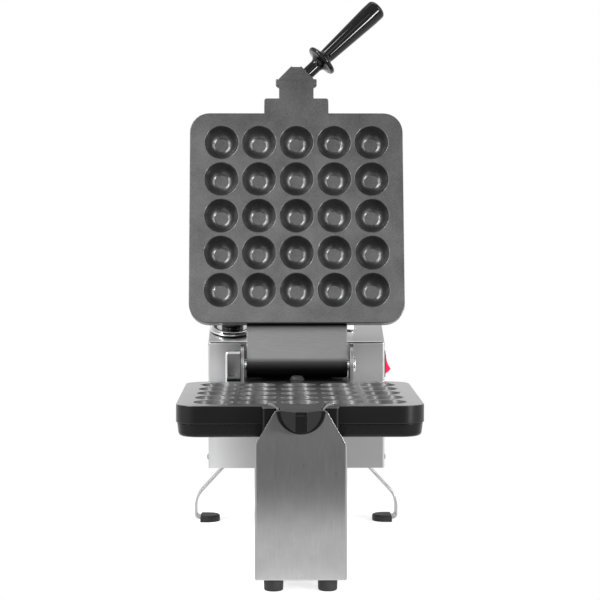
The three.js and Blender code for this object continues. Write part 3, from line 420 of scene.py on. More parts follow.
def strip(points, thickness):
    """The outline of a strip of even thickness along an open line."""
    near, far = [], []
    for i, point in enumerate(points):
        along = (points[min(i + 1, len(points) - 1)] - points[max(i - 1, 0)]).normalized()
        across = Vector((-along.y, along.x)) * thickness / 2
        near.append(point + across)
        far.append(point - across)
    return near + far[::-1]


def scratch(shape):
    """An object that holds a shape while modifiers work on it."""
    mesh = bpy.data.meshes.new("scratch")
    shape.to_mesh(mesh)
    shape.free()
    holder = bpy.data.objects.new("scratch", mesh)
    bpy.context.scene.collection.objects.link(holder)
    return holder


def baked(holder):
    """The mesh that an object's modifiers make. The object is removed."""
    evaluated = holder.evaluated_get(bpy.context.evaluated_depsgraph_get())
    mesh = bpy.data.meshes.new_from_object(evaluated)
    bpy.data.objects.remove(holder)
    return mesh


def shape_of(mesh):
    shape = bmesh.new()
    shape.from_mesh(mesh)
    return shape


def combined(how, first, *others):
    """A shape joined with, cut by or kept inside the others."""
    base = scratch(first)
    tools = [scratch(other) for other in others]
    for tool in tools:
        step = base.modifiers.new("tool", "BOOLEAN")
        step.operation = how
        step.solver = "EXACT"
        step.object = tool
    mesh = baked(base)
    for tool in tools:
        bpy.data.objects.remove(tool)
    shape = shape_of(mesh)
    bmesh.ops.remove_doubles(shape, verts=shape.verts, dist=WELD)
    bmesh.ops.dissolve_degenerate(shape, edges=shape.edges, dist=WELD)
    return shape


def placed(shape, place):
    shape.transform(place)
    return shape


def six_sided(radius, foot, top, profile, bore):
    """A nut between two heights, with its corners turned off to a profile."""
    six = prism("plan", arc(radius, 0, 2 * pi, 6)[:-1], foot, top)
    return combined("DIFFERENCE", combined("INTERSECT", six, turned(profile)),
                    bar("plan", bore, foot - OVERRUN, top + OVERRUN))


def in_metres(shape, place):
    """A mesh in the frame's own units from a shape in millimetres."""
    mesh = bpy.data.meshes.new("piece")
    shape.transform(Matrix.Scale(MM, 4) @ place)
    shape.to_mesh(mesh)
    shape.free()
    mesh.shade_smooth()
    mesh.set_sharp_from_angle(angle=SMOOTH_ANGLE)
    return mesh


def add_piece(name, mesh, finish, body, slot, *nodes):
    """A finished piece that rides on a body and stands for the nodes named."""
    piece = bpy.data.objects.new(name, mesh)
    bpy.context.scene.collection.objects.link(piece)
    even = piece.modifiers.new("even normals", "WEIGHTED_NORMAL")
    even.keep_sharp = True
    final = baked(piece)
    final.name = name
    final.materials.clear()
    final.materials.append(finish)
    piece = bpy.data.objects.new(name, final)
    bpy.context.scene.collection.objects.link(piece)
    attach(piece, body)
    if nodes:
        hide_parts(*nodes)
    return piece


# Nodes written as expressions

class Term:
    """A node's output, so that shader maths reads as an expression."""

    def __init__(self, nodes, node, socket):
        self.nodes, self.node, self.socket = nodes, node, socket

    def __getitem__(self, name):
        return Term(self.nodes, self.node, self.node.outputs[name])

    def maths(self, operation, *values, clamp=False):
        settings = {"operation": operation, "use_clamp": clamp}
        return self.nodes.add("ShaderNodeMath", *values, settings=settings)

    def __add__(self, other):
        return self.maths("ADD", self, other)

    def __radd__(self, other):
        return self.maths("ADD", other, self)

    def __sub__(self, other):
        return self.maths("SUBTRACT", self, other)

    def __rsub__(self, other):
        return self.maths("SUBTRACT", other, self)

    def __mul__(self, other):
        return self.maths("MULTIPLY", self, other)

    def __rmul__(self, other):
        return self.maths("MULTIPLY", other, self)

    def absolute(self):
        return self.maths("ABSOLUTE", self)

    def clamped(self):
        return self.maths("ADD", self, 0, clamp=True)

    def above(self, start, end):
        """Nothing below the start, all above the end, and even between them."""
        return ((self - start) * (1 / (end - start))).clamped()


class Nodes:
    """A node tree that is filled by one method."""

    def __init__(self, tree):
        self.tree = tree
        tree.nodes.clear()

    def add(self, kind, *values, settings=None, **named):
        """A node with its settings made first and its sockets fed with values or links."""
        node = self.tree.nodes.new(kind)
        for key, value in (settings or {}).items():
            setattr(node, key, value)
        feeds = [(node.inputs[i], value) for i, value in enumerate(values)]
        for name, value in named.items():
            match = [s for s in node.inputs if s.identifier == name]
            match = match or [s for s in node.inputs if s.name == name.replace("_", " ")]
            feeds.append((match[0], value))
        for socket, value in feeds:
            if isinstance(value, Term):
                self.tree.links.new(value.socket, socket)
            else:
                socket.default_value = value
        outputs = [s for s in node.outputs if s.enabled]
        return Term(self, node, outputs[0] if outputs else None)


class Finish(Nodes):
    """A material on the piece's own coordinates."""

    def __init__(self, name):
        self.material = bpy.data.materials.new(name)
        self.material.use_nodes = True
        super().__init__(self.material.node_tree)
        self.place = self.add("ShaderNodeTexCoord")

    def noise(self, lump, detail=2.0, stretch=(1, 1, 1)):
        """Noise with lumps of about a size in millimetres, stretched by a factor along each axis."""
        scale = [1 / (lump * MM * factor) for factor in stretch]
        where = self.add("ShaderNodeMapping", Vector=self.place["Object"], Scale=scale)
        return self.add("ShaderNodeTexNoise", Vector=where, Scale=1.0, Detail=detail)

    def cells(self, lump):
        where = self.place["Object"]
        return self.add("ShaderNodeTexVoronoi", Vector=where, Scale=1 / (lump * MM))

    def parts(self, kind):
        """The three parts of the place or of the facing on the piece."""
        return self.add("ShaderNodeSeparateXYZ", Vector=self.place[kind])

    def blend(self, amount, first, second):
        return self.add("ShaderNodeMix", settings={"data_type": "RGBA"}, Factor_Float=amount,
                        A_Color=first, B_Color=second)

    def mottled(self, amount, colour, dark, pale):
        """A colour that goes from one tone of itself to another."""
        return self.blend(amount, tone(colour, dark), tone(colour, pale))

    def bump(self, height, depth, strength=1.0):
        return self.add("ShaderNodeBump", Strength=strength, Distance=depth * MM, Height=height)

    def surface(self, **inputs):
        shader = self.add("ShaderNodeBsdfPrincipled", **inputs)
        self.add("ShaderNodeOutputMaterial", Surface=shader)
        return self.material


def tone(colour, factor):
    """A colour made lighter or darker."""
    return (*[min(1, part * factor) for part in colour[:3]], 1)


# Where painted light and shade on the metal, and the housing cover's duller metal, change, in metres: none at the
# first value, full at the second
COVER_FRONT = (0.125, 0.134)
COVER_FOOT = (0.066, 0.068)
WALL_PAINTED_LIGHT_HEIGHT = (0.228, 0.182)
WALL_PAINTED_LIGHT_LEFT = (-0.045, -0.092)
UPRIGHT_BEND_HIGHLIGHT = (0.2085, 0.2065)
BETWEEN_EARS = (0.0575, 0.0565)
EAR_BACK = ((HINGE.y + 30) * MM, (HINGE.y + 24) * MM)
SHADE_BELOW_PIN = ((HINGE.z + 9) * MM, (HINGE.z + 4) * MM)
SHADE_ARM_TOP = ((HINGE.z + 41) * MM, (HINGE.z + 44) * MM)
DUCT_SHADE_LEFT = (-0.058, -0.062)
DUCT_SHADE_HEIGHT = (0.215, 0.21)


def coated_casting(colours):
    """Dark non-stick coat: fine satin grain, faint clouds and pale specks, with painted shade that makes it
    blacker on the sides.
    """
    finish = Finish("non-stick coat")
    side = finish.add("ShaderNodeAttribute", settings={"attribute_name": "side"})["Fac"]
    grain, tooth, clouds = finish.noise(0.35, 3), finish.noise(1.7, 2), finish.noise(30, 4)
    specks = finish.cells(1.3)["Distance"]
    base = finish.mottled((0.6 * clouds + 0.4 * tooth).above(0.32, 0.68), colours.coating, 0.6, 1.45)
    # The pale specks are the coat's own; the blackening of the sides is painted shade
    for mask, factor in ((1 - specks.above(0.10, 0.16), 1.3), (side, 0.2)):
        base = finish.blend(mask, base, tone(colours.coating, factor))
    return finish.surface(Base_Color=base, Metallic=0.85, Roughness=0.31 + 0.08 * grain + 0.06 * clouds,
                          Coat_Weight=0.7 - 0.5 * side, Coat_Roughness=0.2,
                          Normal=finish.bump(grain, 0.02, 0.5))


def enamel(colours):
    """Black heat-proof enamel with a faint ripple."""
    finish = Finish("case enamel")
    ripple, dust = finish.noise(2.2, 2), finish.noise(0.5, 2)
    base = finish.mottled(dust.above(0.3, 0.8), colours.case, 0.85, 1.2)
    return finish.surface(Base_Color=base, Metallic=0.6, Roughness=0.22 + 0.1 * dust,
                          Normal=finish.bump(ripple + 0.3 * dust, 0.02, 0.4))


def brushed_sheet(colours):
    """Brushed stainless sheet, whose grain runs up its walls and back along its level faces.

    The housing's cover is painted lighter than the rest of the sheet, its bends carry painted highlights, and its
    upright walls carry painted light low at the left and painted shade towards the top and the right.
    """
    finish = Finish("brushed stainless")
    place, facing = finish.parts("Object"), finish.parts("Normal")
    upward, across = facing["Z"].absolute(), facing["X"].absolute()
    flat = upward.above(0.6, 0.8)

    def grain(lump, length):
        up_grain, back_grain = finish.noise(lump, 3, (1, 1, length)), finish.noise(lump, 3, (1, length, 1))
        return finish.add("ShaderNodeMix", settings={"data_type": "FLOAT"}, Factor_Float=flat,
                          A_Float=up_grain["Fac"], B_Float=back_grain["Fac"])

    fine, coarse, blotch = grain(0.3, 60), grain(0.8, 25), grain(3, 6)
    clouds = finish.noise(14, 4)["Fac"]
    streaks = (0.4 * fine + 0.35 * coarse + 0.25 * blotch).above(0.3, 0.7)
    cover = place["Y"].above(*COVER_FRONT) * place["Z"].above(*COVER_FOOT)
    bends = cover * (upward.above(0.2, 0.35) * upward.above(0.9, 0.8)
                     + across.above(0.2, 0.35) * across.above(0.97, 0.9)).clamped()
    walls = cover * (1 - flat)
    lower, lit_leftward = place["Z"].above(*WALL_PAINTED_LIGHT_HEIGHT), place["X"].above(*WALL_PAINTED_LIGHT_LEFT)
    base = finish.mottled(streaks, colours.steel, 0.88, 1.1)
    # Painted light and shade: after the sheet's own clouds, the housing cover is painted lighter, its walls darker
    # at the top and the right and lighter low at the left, and its bends paler as painted highlights
    for mask, factor in ((0.5 * clouds.above(0.35, 0.65), 0.86), (0.8 * cover, 1.25),
                         (walls * (1 - lower), 0.72), (walls * lower * lit_leftward, 1.5),
                         (walls * (1 - lit_leftward), 0.8), (walls * (1 - lit_leftward) * (1 - lower), 0.45),
                         (bends, 1.05), (bends * place["Z"].above(*UPRIGHT_BEND_HIGHLIGHT), 1.45)):
        base = finish.blend(mask, base, tone(colours.steel, factor))
    walls = walls * (1 - bends)
    rough = 0.25 + 0.04 * streaks + 0.04 * clouds + 0.1 * walls
    return finish.surface(Base_Color=base, Metallic=1 - 0.6 * walls, Roughness=rough, Anisotropic=0.85,
                          Normal=finish.bump(0.7 * fine + 0.3 * coarse, 0.006, 0.5))


def satin_steel(colours):
    """Satin steel, ground along its width, with painted shade that makes it near black below the pin between the
    yoke's ears and at the top of the arm.
    """
    finish = Finish("satin steel")
    fine, lines = finish.noise(0.4, 3), finish.noise(0.25, 3, (60, 1, 1))
    place = finish.parts("Object")
    inside = place["Y"].above(*EAR_BACK) * place["X"].absolute().above(*BETWEEN_EARS)
    dark = (inside * place["Z"].above(*SHADE_BELOW_PIN) + place["Z"].above(*SHADE_ARM_TOP)).clamped()
    base = finish.mottled(lines.above(0.3, 0.7), colours.satin, 0.88, 1.08)
    # Painted shade: the base goes near black below the pin between the ears and along the top of the arm
    base = finish.blend(dark, base, tone(colours.satin, 0.12))
    return finish.surface(Base_Color=base, Metallic=1.0, Roughness=0.3 + 0.1 * fine,
                          Normal=finish.bump(0.6 * lines + 0.4 * fine, 0.012, 0.4))


def polished_steel(colours):
    """Polished steel with faint smears, with a painted dark reflection on the front of the duct."""
    finish = Finish("polished steel")
    smear, place = finish.noise(6, 3), finish.parts("Object")
    forward = (finish.parts("Normal")["Y"] * -1).above(0.9, 0.97)
    duct = place["X"].above(*DUCT_SHADE_LEFT) * place["Z"].above(*DUCT_SHADE_HEIGHT)
    base = finish.mottled(smear.above(0.3, 0.7), colours.polish, 0.95, 1.03)
    # Painted dark reflection on the front face of the duct
    base = finish.blend(duct * forward, base, tone(colours.polish, 0.5))
    return finish.surface(Base_Color=base, Metallic=1.0, Roughness=0.08 + 0.08 * smear,
                          Normal=finish.bump(smear, 0.01, 0.15))


def rubber(colours):
    """Matt black rubber with a fine tooth and a little dust."""
    finish = Finish("black rubber")
    tooth, dust = finish.noise(0.45, 3), finish.noise(7, 3)
    base = finish.mottled(dust.above(0.5, 0.75), colours.rubber, 1, 2.2)
    return finish.surface(Base_Color=base, Roughness=0.5 + 0.2 * tooth,
                          Normal=finish.bump(tooth, 0.05, 0.6))


def glossy_moulding(colours):
    """Glossy black handle moulding, polished, with faint smears."""
    finish = Finish("glossy black moulding")
    smear = finish.noise(1.2, 3)
    base = finish.mottled(smear.above(0.4, 0.8), colours.handle, 1, 1.5)
    return finish.surface(Base_Color=base, Roughness=0.05 + 0.03 * smear, IOR=1.42)


def matt_moulding(colours):
    """Matt black moulding with a spark-eroded texture."""
    finish = Finish("matt black moulding")
    tooth = finish.noise(0.5, 3)
    base = finish.mottled(tooth, colours.rubber, 1, 1.8)
    return finish.surface(Base_Color=base, Roughness=0.45 + 0.2 * tooth,
                          Normal=finish.bump(tooth, 0.04, 0.5))


def red_moulding(colours):
    """Glossy red moulding of the rocker, with a faint painted glow."""
    finish = Finish("red moulding")
    haze = finish.noise(3, 2)
    base = finish.mottled(haze, colours.rocker, 0.9, 1.1)
    # The emission is a painted glow that brightens the rocker; it is no lamp
    return finish.surface(Base_Color=base, Roughness=0.28 + 0.08 * haze, Coat_Weight=0.1,
                          Coat_Roughness=0.05, Normal=finish.bump(haze, 0.01, 0.2),
                          Emission_Color=(1, 0.004, 0.08, 1), Emission_Strength=0.15)


def clear_lens(colours):
    """Pale lens of the pilot lamp, with a painted glow that stands in for its highlights."""
    finish = Finish("lamp lens")
    haze = finish.noise(1.5, 2)
    base = finish.mottled(haze, colours.lens, 0.92, 1.05)
    # The emission is a painted glow standing in for the lens's highlights
    return finish.surface(Base_Color=base, Roughness=0.06 + 0.04 * haze, Coat_Weight=0.6,
                          Emission_Color=(1, 1, 0.97, 1), Emission_Strength=0.8)


def plain_inner(name, colour, metallic, roughness, lump):
    """Finish of an inner piece: mottled, with its own tooth."""
    finish = Finish(name)
    tooth, clouds = finish.noise(lump, 3), finish.noise(lump * 12, 2)
    base = finish.mottled(0.5 * tooth + 0.5 * clouds, colour, 0.8, 1.15)
    return finish.surface(Base_Color=base, Metallic=metallic, Roughness=roughness + 0.1 * tooth,
                          Normal=finish.bump(tooth, lump * 0.1, 0.5))


MAKERS = {
    "nonstick_casting": coated_casting,
    "dark_case": enamel,
    "stainless_sheet": brushed_sheet,
    "satin_steel": satin_steel,
    "polished_steel": polished_steel,
    "black_rubber": rubber,
    "black_moulding": glossy_moulding,
    "matt_moulding": matt_moulding,
    "red_moulding": red_moulding,
    "lamp_lens": clear_lens,
    "element_sheath": lambda c: plain_inner("element sheath", (0.12, 0.10, 0.09), 0.8, 0.45, 0.6),
    "insulation_felt": lambda c: plain_inner("insulation felt", (0.62, 0.58, 0.5), 0.0, 0.85, 0.8),
    "bearing_bronze": lambda c: plain_inner("bearing bronze", (0.42, 0.25, 0.09), 1.0, 0.3, 0.4),
    "pale_moulding": lambda c: plain_inner("pale moulding", (0.72, 0.69, 0.6), 0.0, 0.5, 0.5),
}
made = {}


def finish_of(slot):
    """The material of a slot, made once."""
    if slot not in made:
        made[slot] = MAKERS[slot](bpy.context.scene.cooker_colours)
    return made[slot]


def dress(name, shape, place, body, slot, *nodes):
    return add_piece(name, in_metres(shape, place), finish_of(slot), body, slot, *nodes)


# Geometry node trees

def new_tree(name, sockets):
    """A geometry tree with one input for each name and kind, and its nodes."""
    tree = bpy.data.node_groups.new(name, "GeometryNodeTree")
    kinds = {"Geometry": "Geometry", **sockets, "Finish": "Material"}
    ids = {}
    for label, kind in kinds.items():
        socket = tree.interface.new_socket(label, in_out="INPUT", socket_type=f"NodeSocket{kind}")
        ids[label] = socket.identifier
    tree.interface.new_socket("Geometry", in_out="OUTPUT", socket_type="NodeSocketGeometry")
    nodes = Nodes(tree)
    return tree, ids, nodes, nodes.add("NodeGroupInput")


def end_tree(nodes, spread, finish, weld=None):
    """Makes the copies real, welds them within a distance if one is given, and sets their finish."""
    real = nodes.add("GeometryNodeRealizeInstances", spread)
    if weld:
        real = nodes.add("GeometryNodeMergeByDistance", Geometry=real, Distance=weld)
    nodes.add("NodeGroupOutput", nodes.add("GeometryNodeSetMaterial", Geometry=real, Material=finish))


def run_tree(tree, ids, shape, values):
    """The mesh that a tree makes of a shape."""
    holder = scratch(shape)
    step = holder.modifiers.new(tree.name, "NODES")
    step.node_group = tree
    for label, value in values.items():
        step[ids[label]] = value
    return baked(holder)


def ball_field_tree():
    """Sets one square with its half ball in a grid of like squares and welds their edges."""
    sockets = {"Balls per side": "Int", "Pitch": "Float", "Middle": "Vector"}
    tree, ids, nodes, given = new_tree("ball field", sockets)
    count, pitch = given["Balls per side"], given["Pitch"]
    side = nodes.add("ShaderNodeMath", count, 1.0, settings={"operation": "SUBTRACT"}) * pitch
    grid = nodes.add("GeometryNodeMeshGrid", side, side, count, count)
    moved = nodes.add("GeometryNodeTransform", Geometry=grid, Translation=given["Middle"])
    spread = nodes.add("GeometryNodeInstanceOnPoints", Points=moved, Instance=given["Geometry"])
    end_tree(nodes, spread, given["Finish"], 10 * WELD)
    return tree, ids


def set_out_tree():
    """Sets one shape on each point, with its up axis along the way that the point faces."""
    tree, ids, nodes, given = new_tree("set out", {"Shape": "Object", "Size": "Float"})
    info = nodes.add("GeometryNodeObjectInfo", Object=given["Shape"])
    way = nodes.add("GeometryNodeInputNamedAttribute", "facing", settings={"data_type": "FLOAT_VECTOR"})
    turn = nodes.add("FunctionNodeAlignRotationToVector", settings={"axis": "Z"}, Vector=way)
    size = nodes.add("ShaderNodeCombineXYZ", given["Size"], given["Size"], given["Size"])
    spread = nodes.add("GeometryNodeInstanceOnPoints", Points=given["Geometry"],
                       Instance=info["Geometry"], Rotation=turn, Scale=size)
    end_tree(nodes, spread, given["Finish"])
    return tree, ids


def set_out(shape, points, finish, size=1.0):
    """A shape repeated at pairs of place and facing."""
    tree, ids = set_out_tree()
    pattern = scratch(shape)
    mesh = bpy.data.meshes.new("points")
    mesh.from_pydata([place for place, facing in points], [], [])
    ways = mesh.attributes.new("facing", "FLOAT_VECTOR", "POINT")
    for slot, (place, facing) in zip(ways.data, points):
        slot.vector = facing
    result = run_tree(tree, ids, shape_of(mesh), {"Shape": pattern, "Size": size, "Finish": finish})
    bpy.data.objects.remove(pattern)
    return shape_of(result)


# Irons

def on_iron_outline(angle, inset):
    """Where a ray from an iron's middle crosses its rounded square outline, drawn in by an inset."""
    way = Vector((cos(angle), sin(angle)))
    half = IRON_HALF - inset
    radius = max(IRON_CORNER - inset, IRON_CORNER / 2)
    flat = half - radius
    point = way * half / max(abs(way.x), abs(way.y))
    if min(abs(point.x), abs(point.y)) > flat:
        centre = Vector((copysign(flat, way.x), copysign(flat, way.y)))
        reach = way.dot(centre)
        point = way * (reach + (reach ** 2 - centre.length_squared + radius ** 2) ** 0.5)
    return point


def iron_rings(angles, profile):
    """Rings of an iron's outline at pairs of inset and height."""
    return [[(p.x, p.y + IRON_HALF, height) for p in (on_iron_outline(angle, inset) for angle in angles)]
            for inset, height in profile]


def ball_cell(sizes):
    """A square of a plate's face with its half ball, whose wall grows steeper from floor to mouth."""
    mouth, floor = sizes.ball_mouth / MM / 2, sizes.ball_floor / MM / 2
    depth, half, lip = sizes.ball_depth / MM, sizes.ball_pitch / MM / 2, sizes.mouth_round / MM
    reach = mouth - floor
    spare = depth / reach - BALL_START_SLOPE
    steepening = (BALL_END_SLOPE - BALL_START_SLOPE) / spare
    wall = [(floor + reach * t, reach * (BALL_START_SLOPE * t + spare * t ** steepening) - depth)
            for t in between(BALL_WALL_STEPS)]
    profile = rounded([(0, -depth), (floor, -depth, BALL_FLOOR_EASE), *wall, (mouth, -FACE_GAP, lip),
                       (mouth + lip + BALL_LAND, -FACE_GAP)], 5, closed=False)
    per_side = BALL_STEPS // 4
    walk = [half * (1 - 2 * step / per_side) for step in range(per_side)]
    border = ([(t, half) for t in walk] + [(-half, t) for t in walk]
              + [(-t, -half) for t in walk] + [(half, -t) for t in walk])
    rings = turned_rings(profile, once_round(BALL_STEPS, pi / 4))
    return skin([*rings, [(x, y, -FACE_GAP) for x, y in border]], caps=False)


def half_bar(radius, start, end):
    """The lower half of a round bar on the turning axis, flat at the parting plane."""
    dip = asin(FACE_GAP / radius)
    return prism("front", arc(radius, pi + dip, 2 * pi - dip, ROUND_STEPS // 2), start, end)


def nose():
    """The wedge at the journal's front end, with a notch in its front edge."""
    run = COLLAR_FRONT - NOSE_FRONT + 2 * OVERRUN
    wide = NOSE_HALF + run * tan(NOSE_ANGLE)
    back = NOSE_FRONT + run
    plan = [(-NOSE_HALF, NOSE_FRONT), (NOSE_HALF, NOSE_FRONT), (wide, back), (-wide, back)]
    wedge = prism("plan", plan, -NECK_RADIUS - OVERRUN, OVERRUN)
    notch = block((SEAT_GAP - NOSE_HALF, NOSE_HALF - SEAT_GAP),
                  (NOSE_FRONT - OVERRUN, NOSE_FRONT + NOTCH_DEPTH), (-NOTCH_HEIGHT, OVERRUN))
    kept = combined("INTERSECT", half_bar(NECK_RADIUS, NOSE_FRONT - OVERRUN, back - OVERRUN / 2), wedge)
    return soften(combined("DIFFERENCE", kept, notch), NOSE_EDGE, 2)


def tab():
    """The block that joins the journal to the plate's front edge."""
    plan = rounded([(-TAB_HALF, -TAB_LENGTH, TAB_CORNER), (TAB_HALF, -TAB_LENGTH, TAB_CORNER),
                    (TAB_HALF, OVERRUN), (-TAB_HALF, OVERRUN)])
    shape = prism("plan", plan, -TAB_HEIGHT, -FACE_GAP)
    return soften(shape, TAB_EDGE, 3, lambda edge: max(ends(edge, Y)) < OVERRUN / 2)


def grill_plate(sizes, finish):
    """One casting: the face with its half balls, the rim, and the journal at the front."""
    tree, ids = ball_field_tree()
    field_half = sizes.balls_per_side * sizes.ball_pitch / MM / 2 - BALL_SHIFT + PLATE_RIM
    shape = shape_of(run_tree(tree, ids, ball_cell(sizes), {
        "Balls per side": sizes.balls_per_side, "Pitch": sizes.ball_pitch / MM,
        "Middle": (0, IRON_HALF + BALL_SHIFT, 0), "Finish": finish}))
    edge_points = {v for edge in shape.edges if edge.is_boundary for v in edge.verts}

    def bearing(vertex):
        return atan2(vertex.co.y - IRON_HALF, vertex.co.x)

    border = sorted(edge_points, key=bearing)
    profile = rounded([(RIM_REACH, -FACE_GAP), (0, -FACE_GAP, PLATE_RIM), (0, -PLATE_THICKNESS, PLATE_HEEL),
                       (RIM_REACH, -PLATE_THICKNESS)], 4, closed=False)
    rows = [border] + [[shape.verts.new(p) for p in ring]
                       for ring in iron_rings([bearing(v) for v in border], profile)]
    for one, two in zip(rows, rows[1:]):
        for i, vertex in enumerate(one):
            shape.faces.new((one[i - 1], vertex, two[i], two[i - 1]))
    shape.faces.new(rows[-1])
    bmesh.ops.recalc_face_normals(shape, faces=shape.faces)
    collar = soften(half_bar(COLLAR_RADIUS, COLLAR_FRONT, NECK_FRONT), COLLAR_EDGE, 3)
    neck = half_bar(NECK_RADIUS, NECK_FRONT - OVERRUN, -TAB_LENGTH + OVERRUN)
    casting = combined("UNION", shape, tab(), neck, collar, nose())
    # The side attribute marks the upright faces outside the half balls, where the coat's finish paints shade
    side = casting.faces.layers.float.new("side")
    casting.normal_update()
    for face in casting.faces:
        centre, facing = face.calc_center_median(), face.normal
        outside = max(abs(centre.x), abs(centre.y - IRON_HALF)) > field_half
        square = hypot(facing.x, facing.y)
        face[side] = min(1, max(0, (square - 0.75) / 0.2)) if outside else 0
    return casting


def heating_case():
    """The tray behind a plate, with a rounded outer edge."""
    top, bottom = -PLATE_THICKNESS - SEAT_GAP, -IRON_DEPTH
    taper = CASE_INSET + CASE_TAPER
    profile = rounded([
        (taper + CASE_WALL + RIM_REACH * 4, bottom + CASE_WALL), (taper + CASE_WALL, bottom + CASE_WALL, 2),
        (taper + CASE_WALL, top, 0.4), (CASE_INSET, top, CASE_LIP), (taper, bottom, CASE_ROUND),
        (taper + RIM_REACH * 4, bottom)], 6, closed=False)
    return skin(iron_rings(once_round(CASE_STEPS, pi / CASE_STEPS), profile))


# Handle

def handle_place():
    """Where the handle stands: square to the side face of the nose."""
    outward = Vector((cos(NOSE_ANGLE), -sin(NOSE_ANGLE), 0))
    turn = Vector((0, 0, 1)).rotation_difference(outward).to_matrix().to_4x4()
    return closed_lid @ Matrix.Translation((HANDLE_ACROSS, HANDLE_BACK, HANDLE_RISE)) @ turn


def handle_grip(sizes):
    """Ferrule, bell-shaped guard and tapered grip, turned in one piece."""
    ferrule, guard, rim = 7.3, 19.3, 2.7
    flare_start, rim_middle, waist = 9.0, 19.1, 26.5
    thin, thick, length = 8.4, 11.8, sizes.grip_length / MM
    foot, rim_start, dome = SEAT_GAP - BOSS_LENGTH, guard - rim, length - END_LENGTH
    base = rounded([(0, 0), (BOSS_RADIUS, 0), (BOSS_RADIUS, foot), (ferrule, foot, 0.5),
                    (ferrule, flare_start)], 4, closed=False)
    flare = [(ferrule + (rim_start - ferrule) * (1 - cos(t)),
              flare_start + (rim_middle - rim - flare_start) * sin(t))
             for t in (pi / 2 * share for share in between(14))]
    edge = arc(rim, -pi / 2, pi / 2, 14, (rim_start, rim_middle))
    grip = rounded([(rim_start, rim_middle + rim), (thin + 1.2, waist - 2.2, 2.5), (thin, waist, 0.8),
                    (thin + 0.25, waist + 3), (thick, length - 16, 30), (thick, dome)], 8, closed=False)[1:]
    end = [(thick * cos(t) ** END_POWER, dome + END_LENGTH * sin(t) ** END_POWER)
           for t in (pi / 2 * share for share in between(16))]
    return turned([*base, *flare, *edge, *grip, *end, (0, length)], FINE_STEPS)


def handle_stud():
    """The stud between the nose and the grip."""
    radius, top = BOSS_RADIUS - FACE_GAP, BOSS_LENGTH - SEAT_GAP
    return lathed([(0, SEAT_GAP), (radius, SEAT_GAP, 0.3), (radius, top, 0.3), (0, top)], 3)


# Column, saddle, feet, spine and legs

def column_sheet(sizes):
    """A sheet bent back at both sides and at the foot, with a round cradle between two horns."""
    half, sheet, bend = COLUMN_HALF, COLUMN_SHEET, sizes.bend / MM
    channel = prism("plan", folded(COLUMN_BACK, COLUMN_FRONT, half, sheet, bend, 6), COLUMN_FOOT, COLUMN_TOP)
    floor = block((-half + sheet / 2, half - sheet / 2), (COLUMN_FRONT + sheet / 2, COLUMN_BACK),
                  (COLUMN_FOOT, COLUMN_FOOT + sheet))
    right = rounded([(half, COLUMN_FOOT), (half, SHOULDER, SHOULDER_ROUND), (HORN_HALF, COLUMN_TOP)], 14,
                    closed=False)
    right[0] = Vector((half + OVERRUN, COLUMN_FOOT - OVERRUN))
    right.insert(1, Vector((half + OVERRUN, right[1].y)))
    dip = asin((PARTING - COLUMN_TOP) / CRADLE_RADIUS)
    cradle = arc(CRADLE_RADIUS, -dip, dip - pi, 56, (0, PARTING))
    for point in (right[-1], cradle[0], cradle[-1]):
        point.y += OVERRUN
    front, back, inside = COLUMN_FRONT - OVERRUN, COLUMN_BACK + OVERRUN, COLUMN_FRONT + sheet + SEAT_GAP
    face = prism("front", right + cradle + mirrored(right), front, back)
    side = [(front, COLUMN_FOOT - OVERRUN), (back, COLUMN_FOOT - OVERRUN), (back, COVER_TOP),
            (CHEEK_NECK, CHEEK_TOP), (inside, CHEEK_TOP), (inside, COLUMN_TOP + OVERRUN),
            (front, COLUMN_TOP + OVERRUN)]
    cheeks = prism("side", side, -half - OVERRUN, half + OVERRUN)
    shape = combined("INTERSECT", combined("INTERSECT", combined("UNION", channel, floor), face), cheeks)
    soften(shape, bend / 2, 4, lambda edge: max(ends(edge, Z)) < COLUMN_FOOT + WELD
           and max(ends(edge, Y)) < COLUMN_BACK - sheet, clamp=False)
    return soften(shape, sizes.sheet_edge / MM, 2, clamp=False)


def saddle_strip():
    """A bright strip under the journal, with a lip rolled outwards at each side."""
    reach = SADDLE_RADIUS + SADDLE_LIP
    lip = arc(SADDLE_LIP, SADDLE_LIP_END, pi - SADDLE_DIP, 18,
              (reach * cos(SADDLE_DIP), -reach * sin(SADDLE_DIP)))
    line = lip + arc(SADDLE_RADIUS, -SADDLE_DIP, SADDLE_DIP - pi, 56)[1:-1] + mirrored(lip)
    shape = prism("front", strip(line, SADDLE_SHEET), *limits("saddle_strip", IRON_ORIGIN)[Y])
    return soften(shape, 0.35, 2, clamp=False)


def back_cover():
    """The flat plate that closes the column's back."""
    across, back, up = limits("column_back_cover")
    return soften(prism("front", rectangle(across, up, 3, steps=5), *back), CUT_EDGE, 2)


def front_foot():
    """A turned rubber foot with a small draft and a soft lower edge."""
    radius, top = half_size("front_foot_right", X), COLUMN_FOOT - SEAT_GAP
    return lathed([(0, 0.8), (radius * 0.45, 0.8, 0.4), (radius * 0.5, 0, 0.3), (radius - 0.4, 0, 1.8),
                   (radius, top, 0.6), (0, top)])


def spine():
    """The channel that joins the column to the housing, open below."""
    (_, half), back, (foot, top) = limits("spine_channel")
    return soften(prism("front", folded(foot, top, half, COLUMN_SHEET, SPINE_BEND), *back), CUT_EDGE, 2)


def riser():
    """The tube that stands between the spine and the housing's base."""
    (_, half), back, (foot, top) = limits("spine_riser")
    tubes = [prism("plan", rectangle((-half, half), back, RISER_CORNER - inset, inset),
                   foot - past, top + past) for inset, past in ((0, 0), (RISER_WALL, OVERRUN))]
    return soften(combined("DIFFERENCE", *tubes), CUT_EDGE, 2)


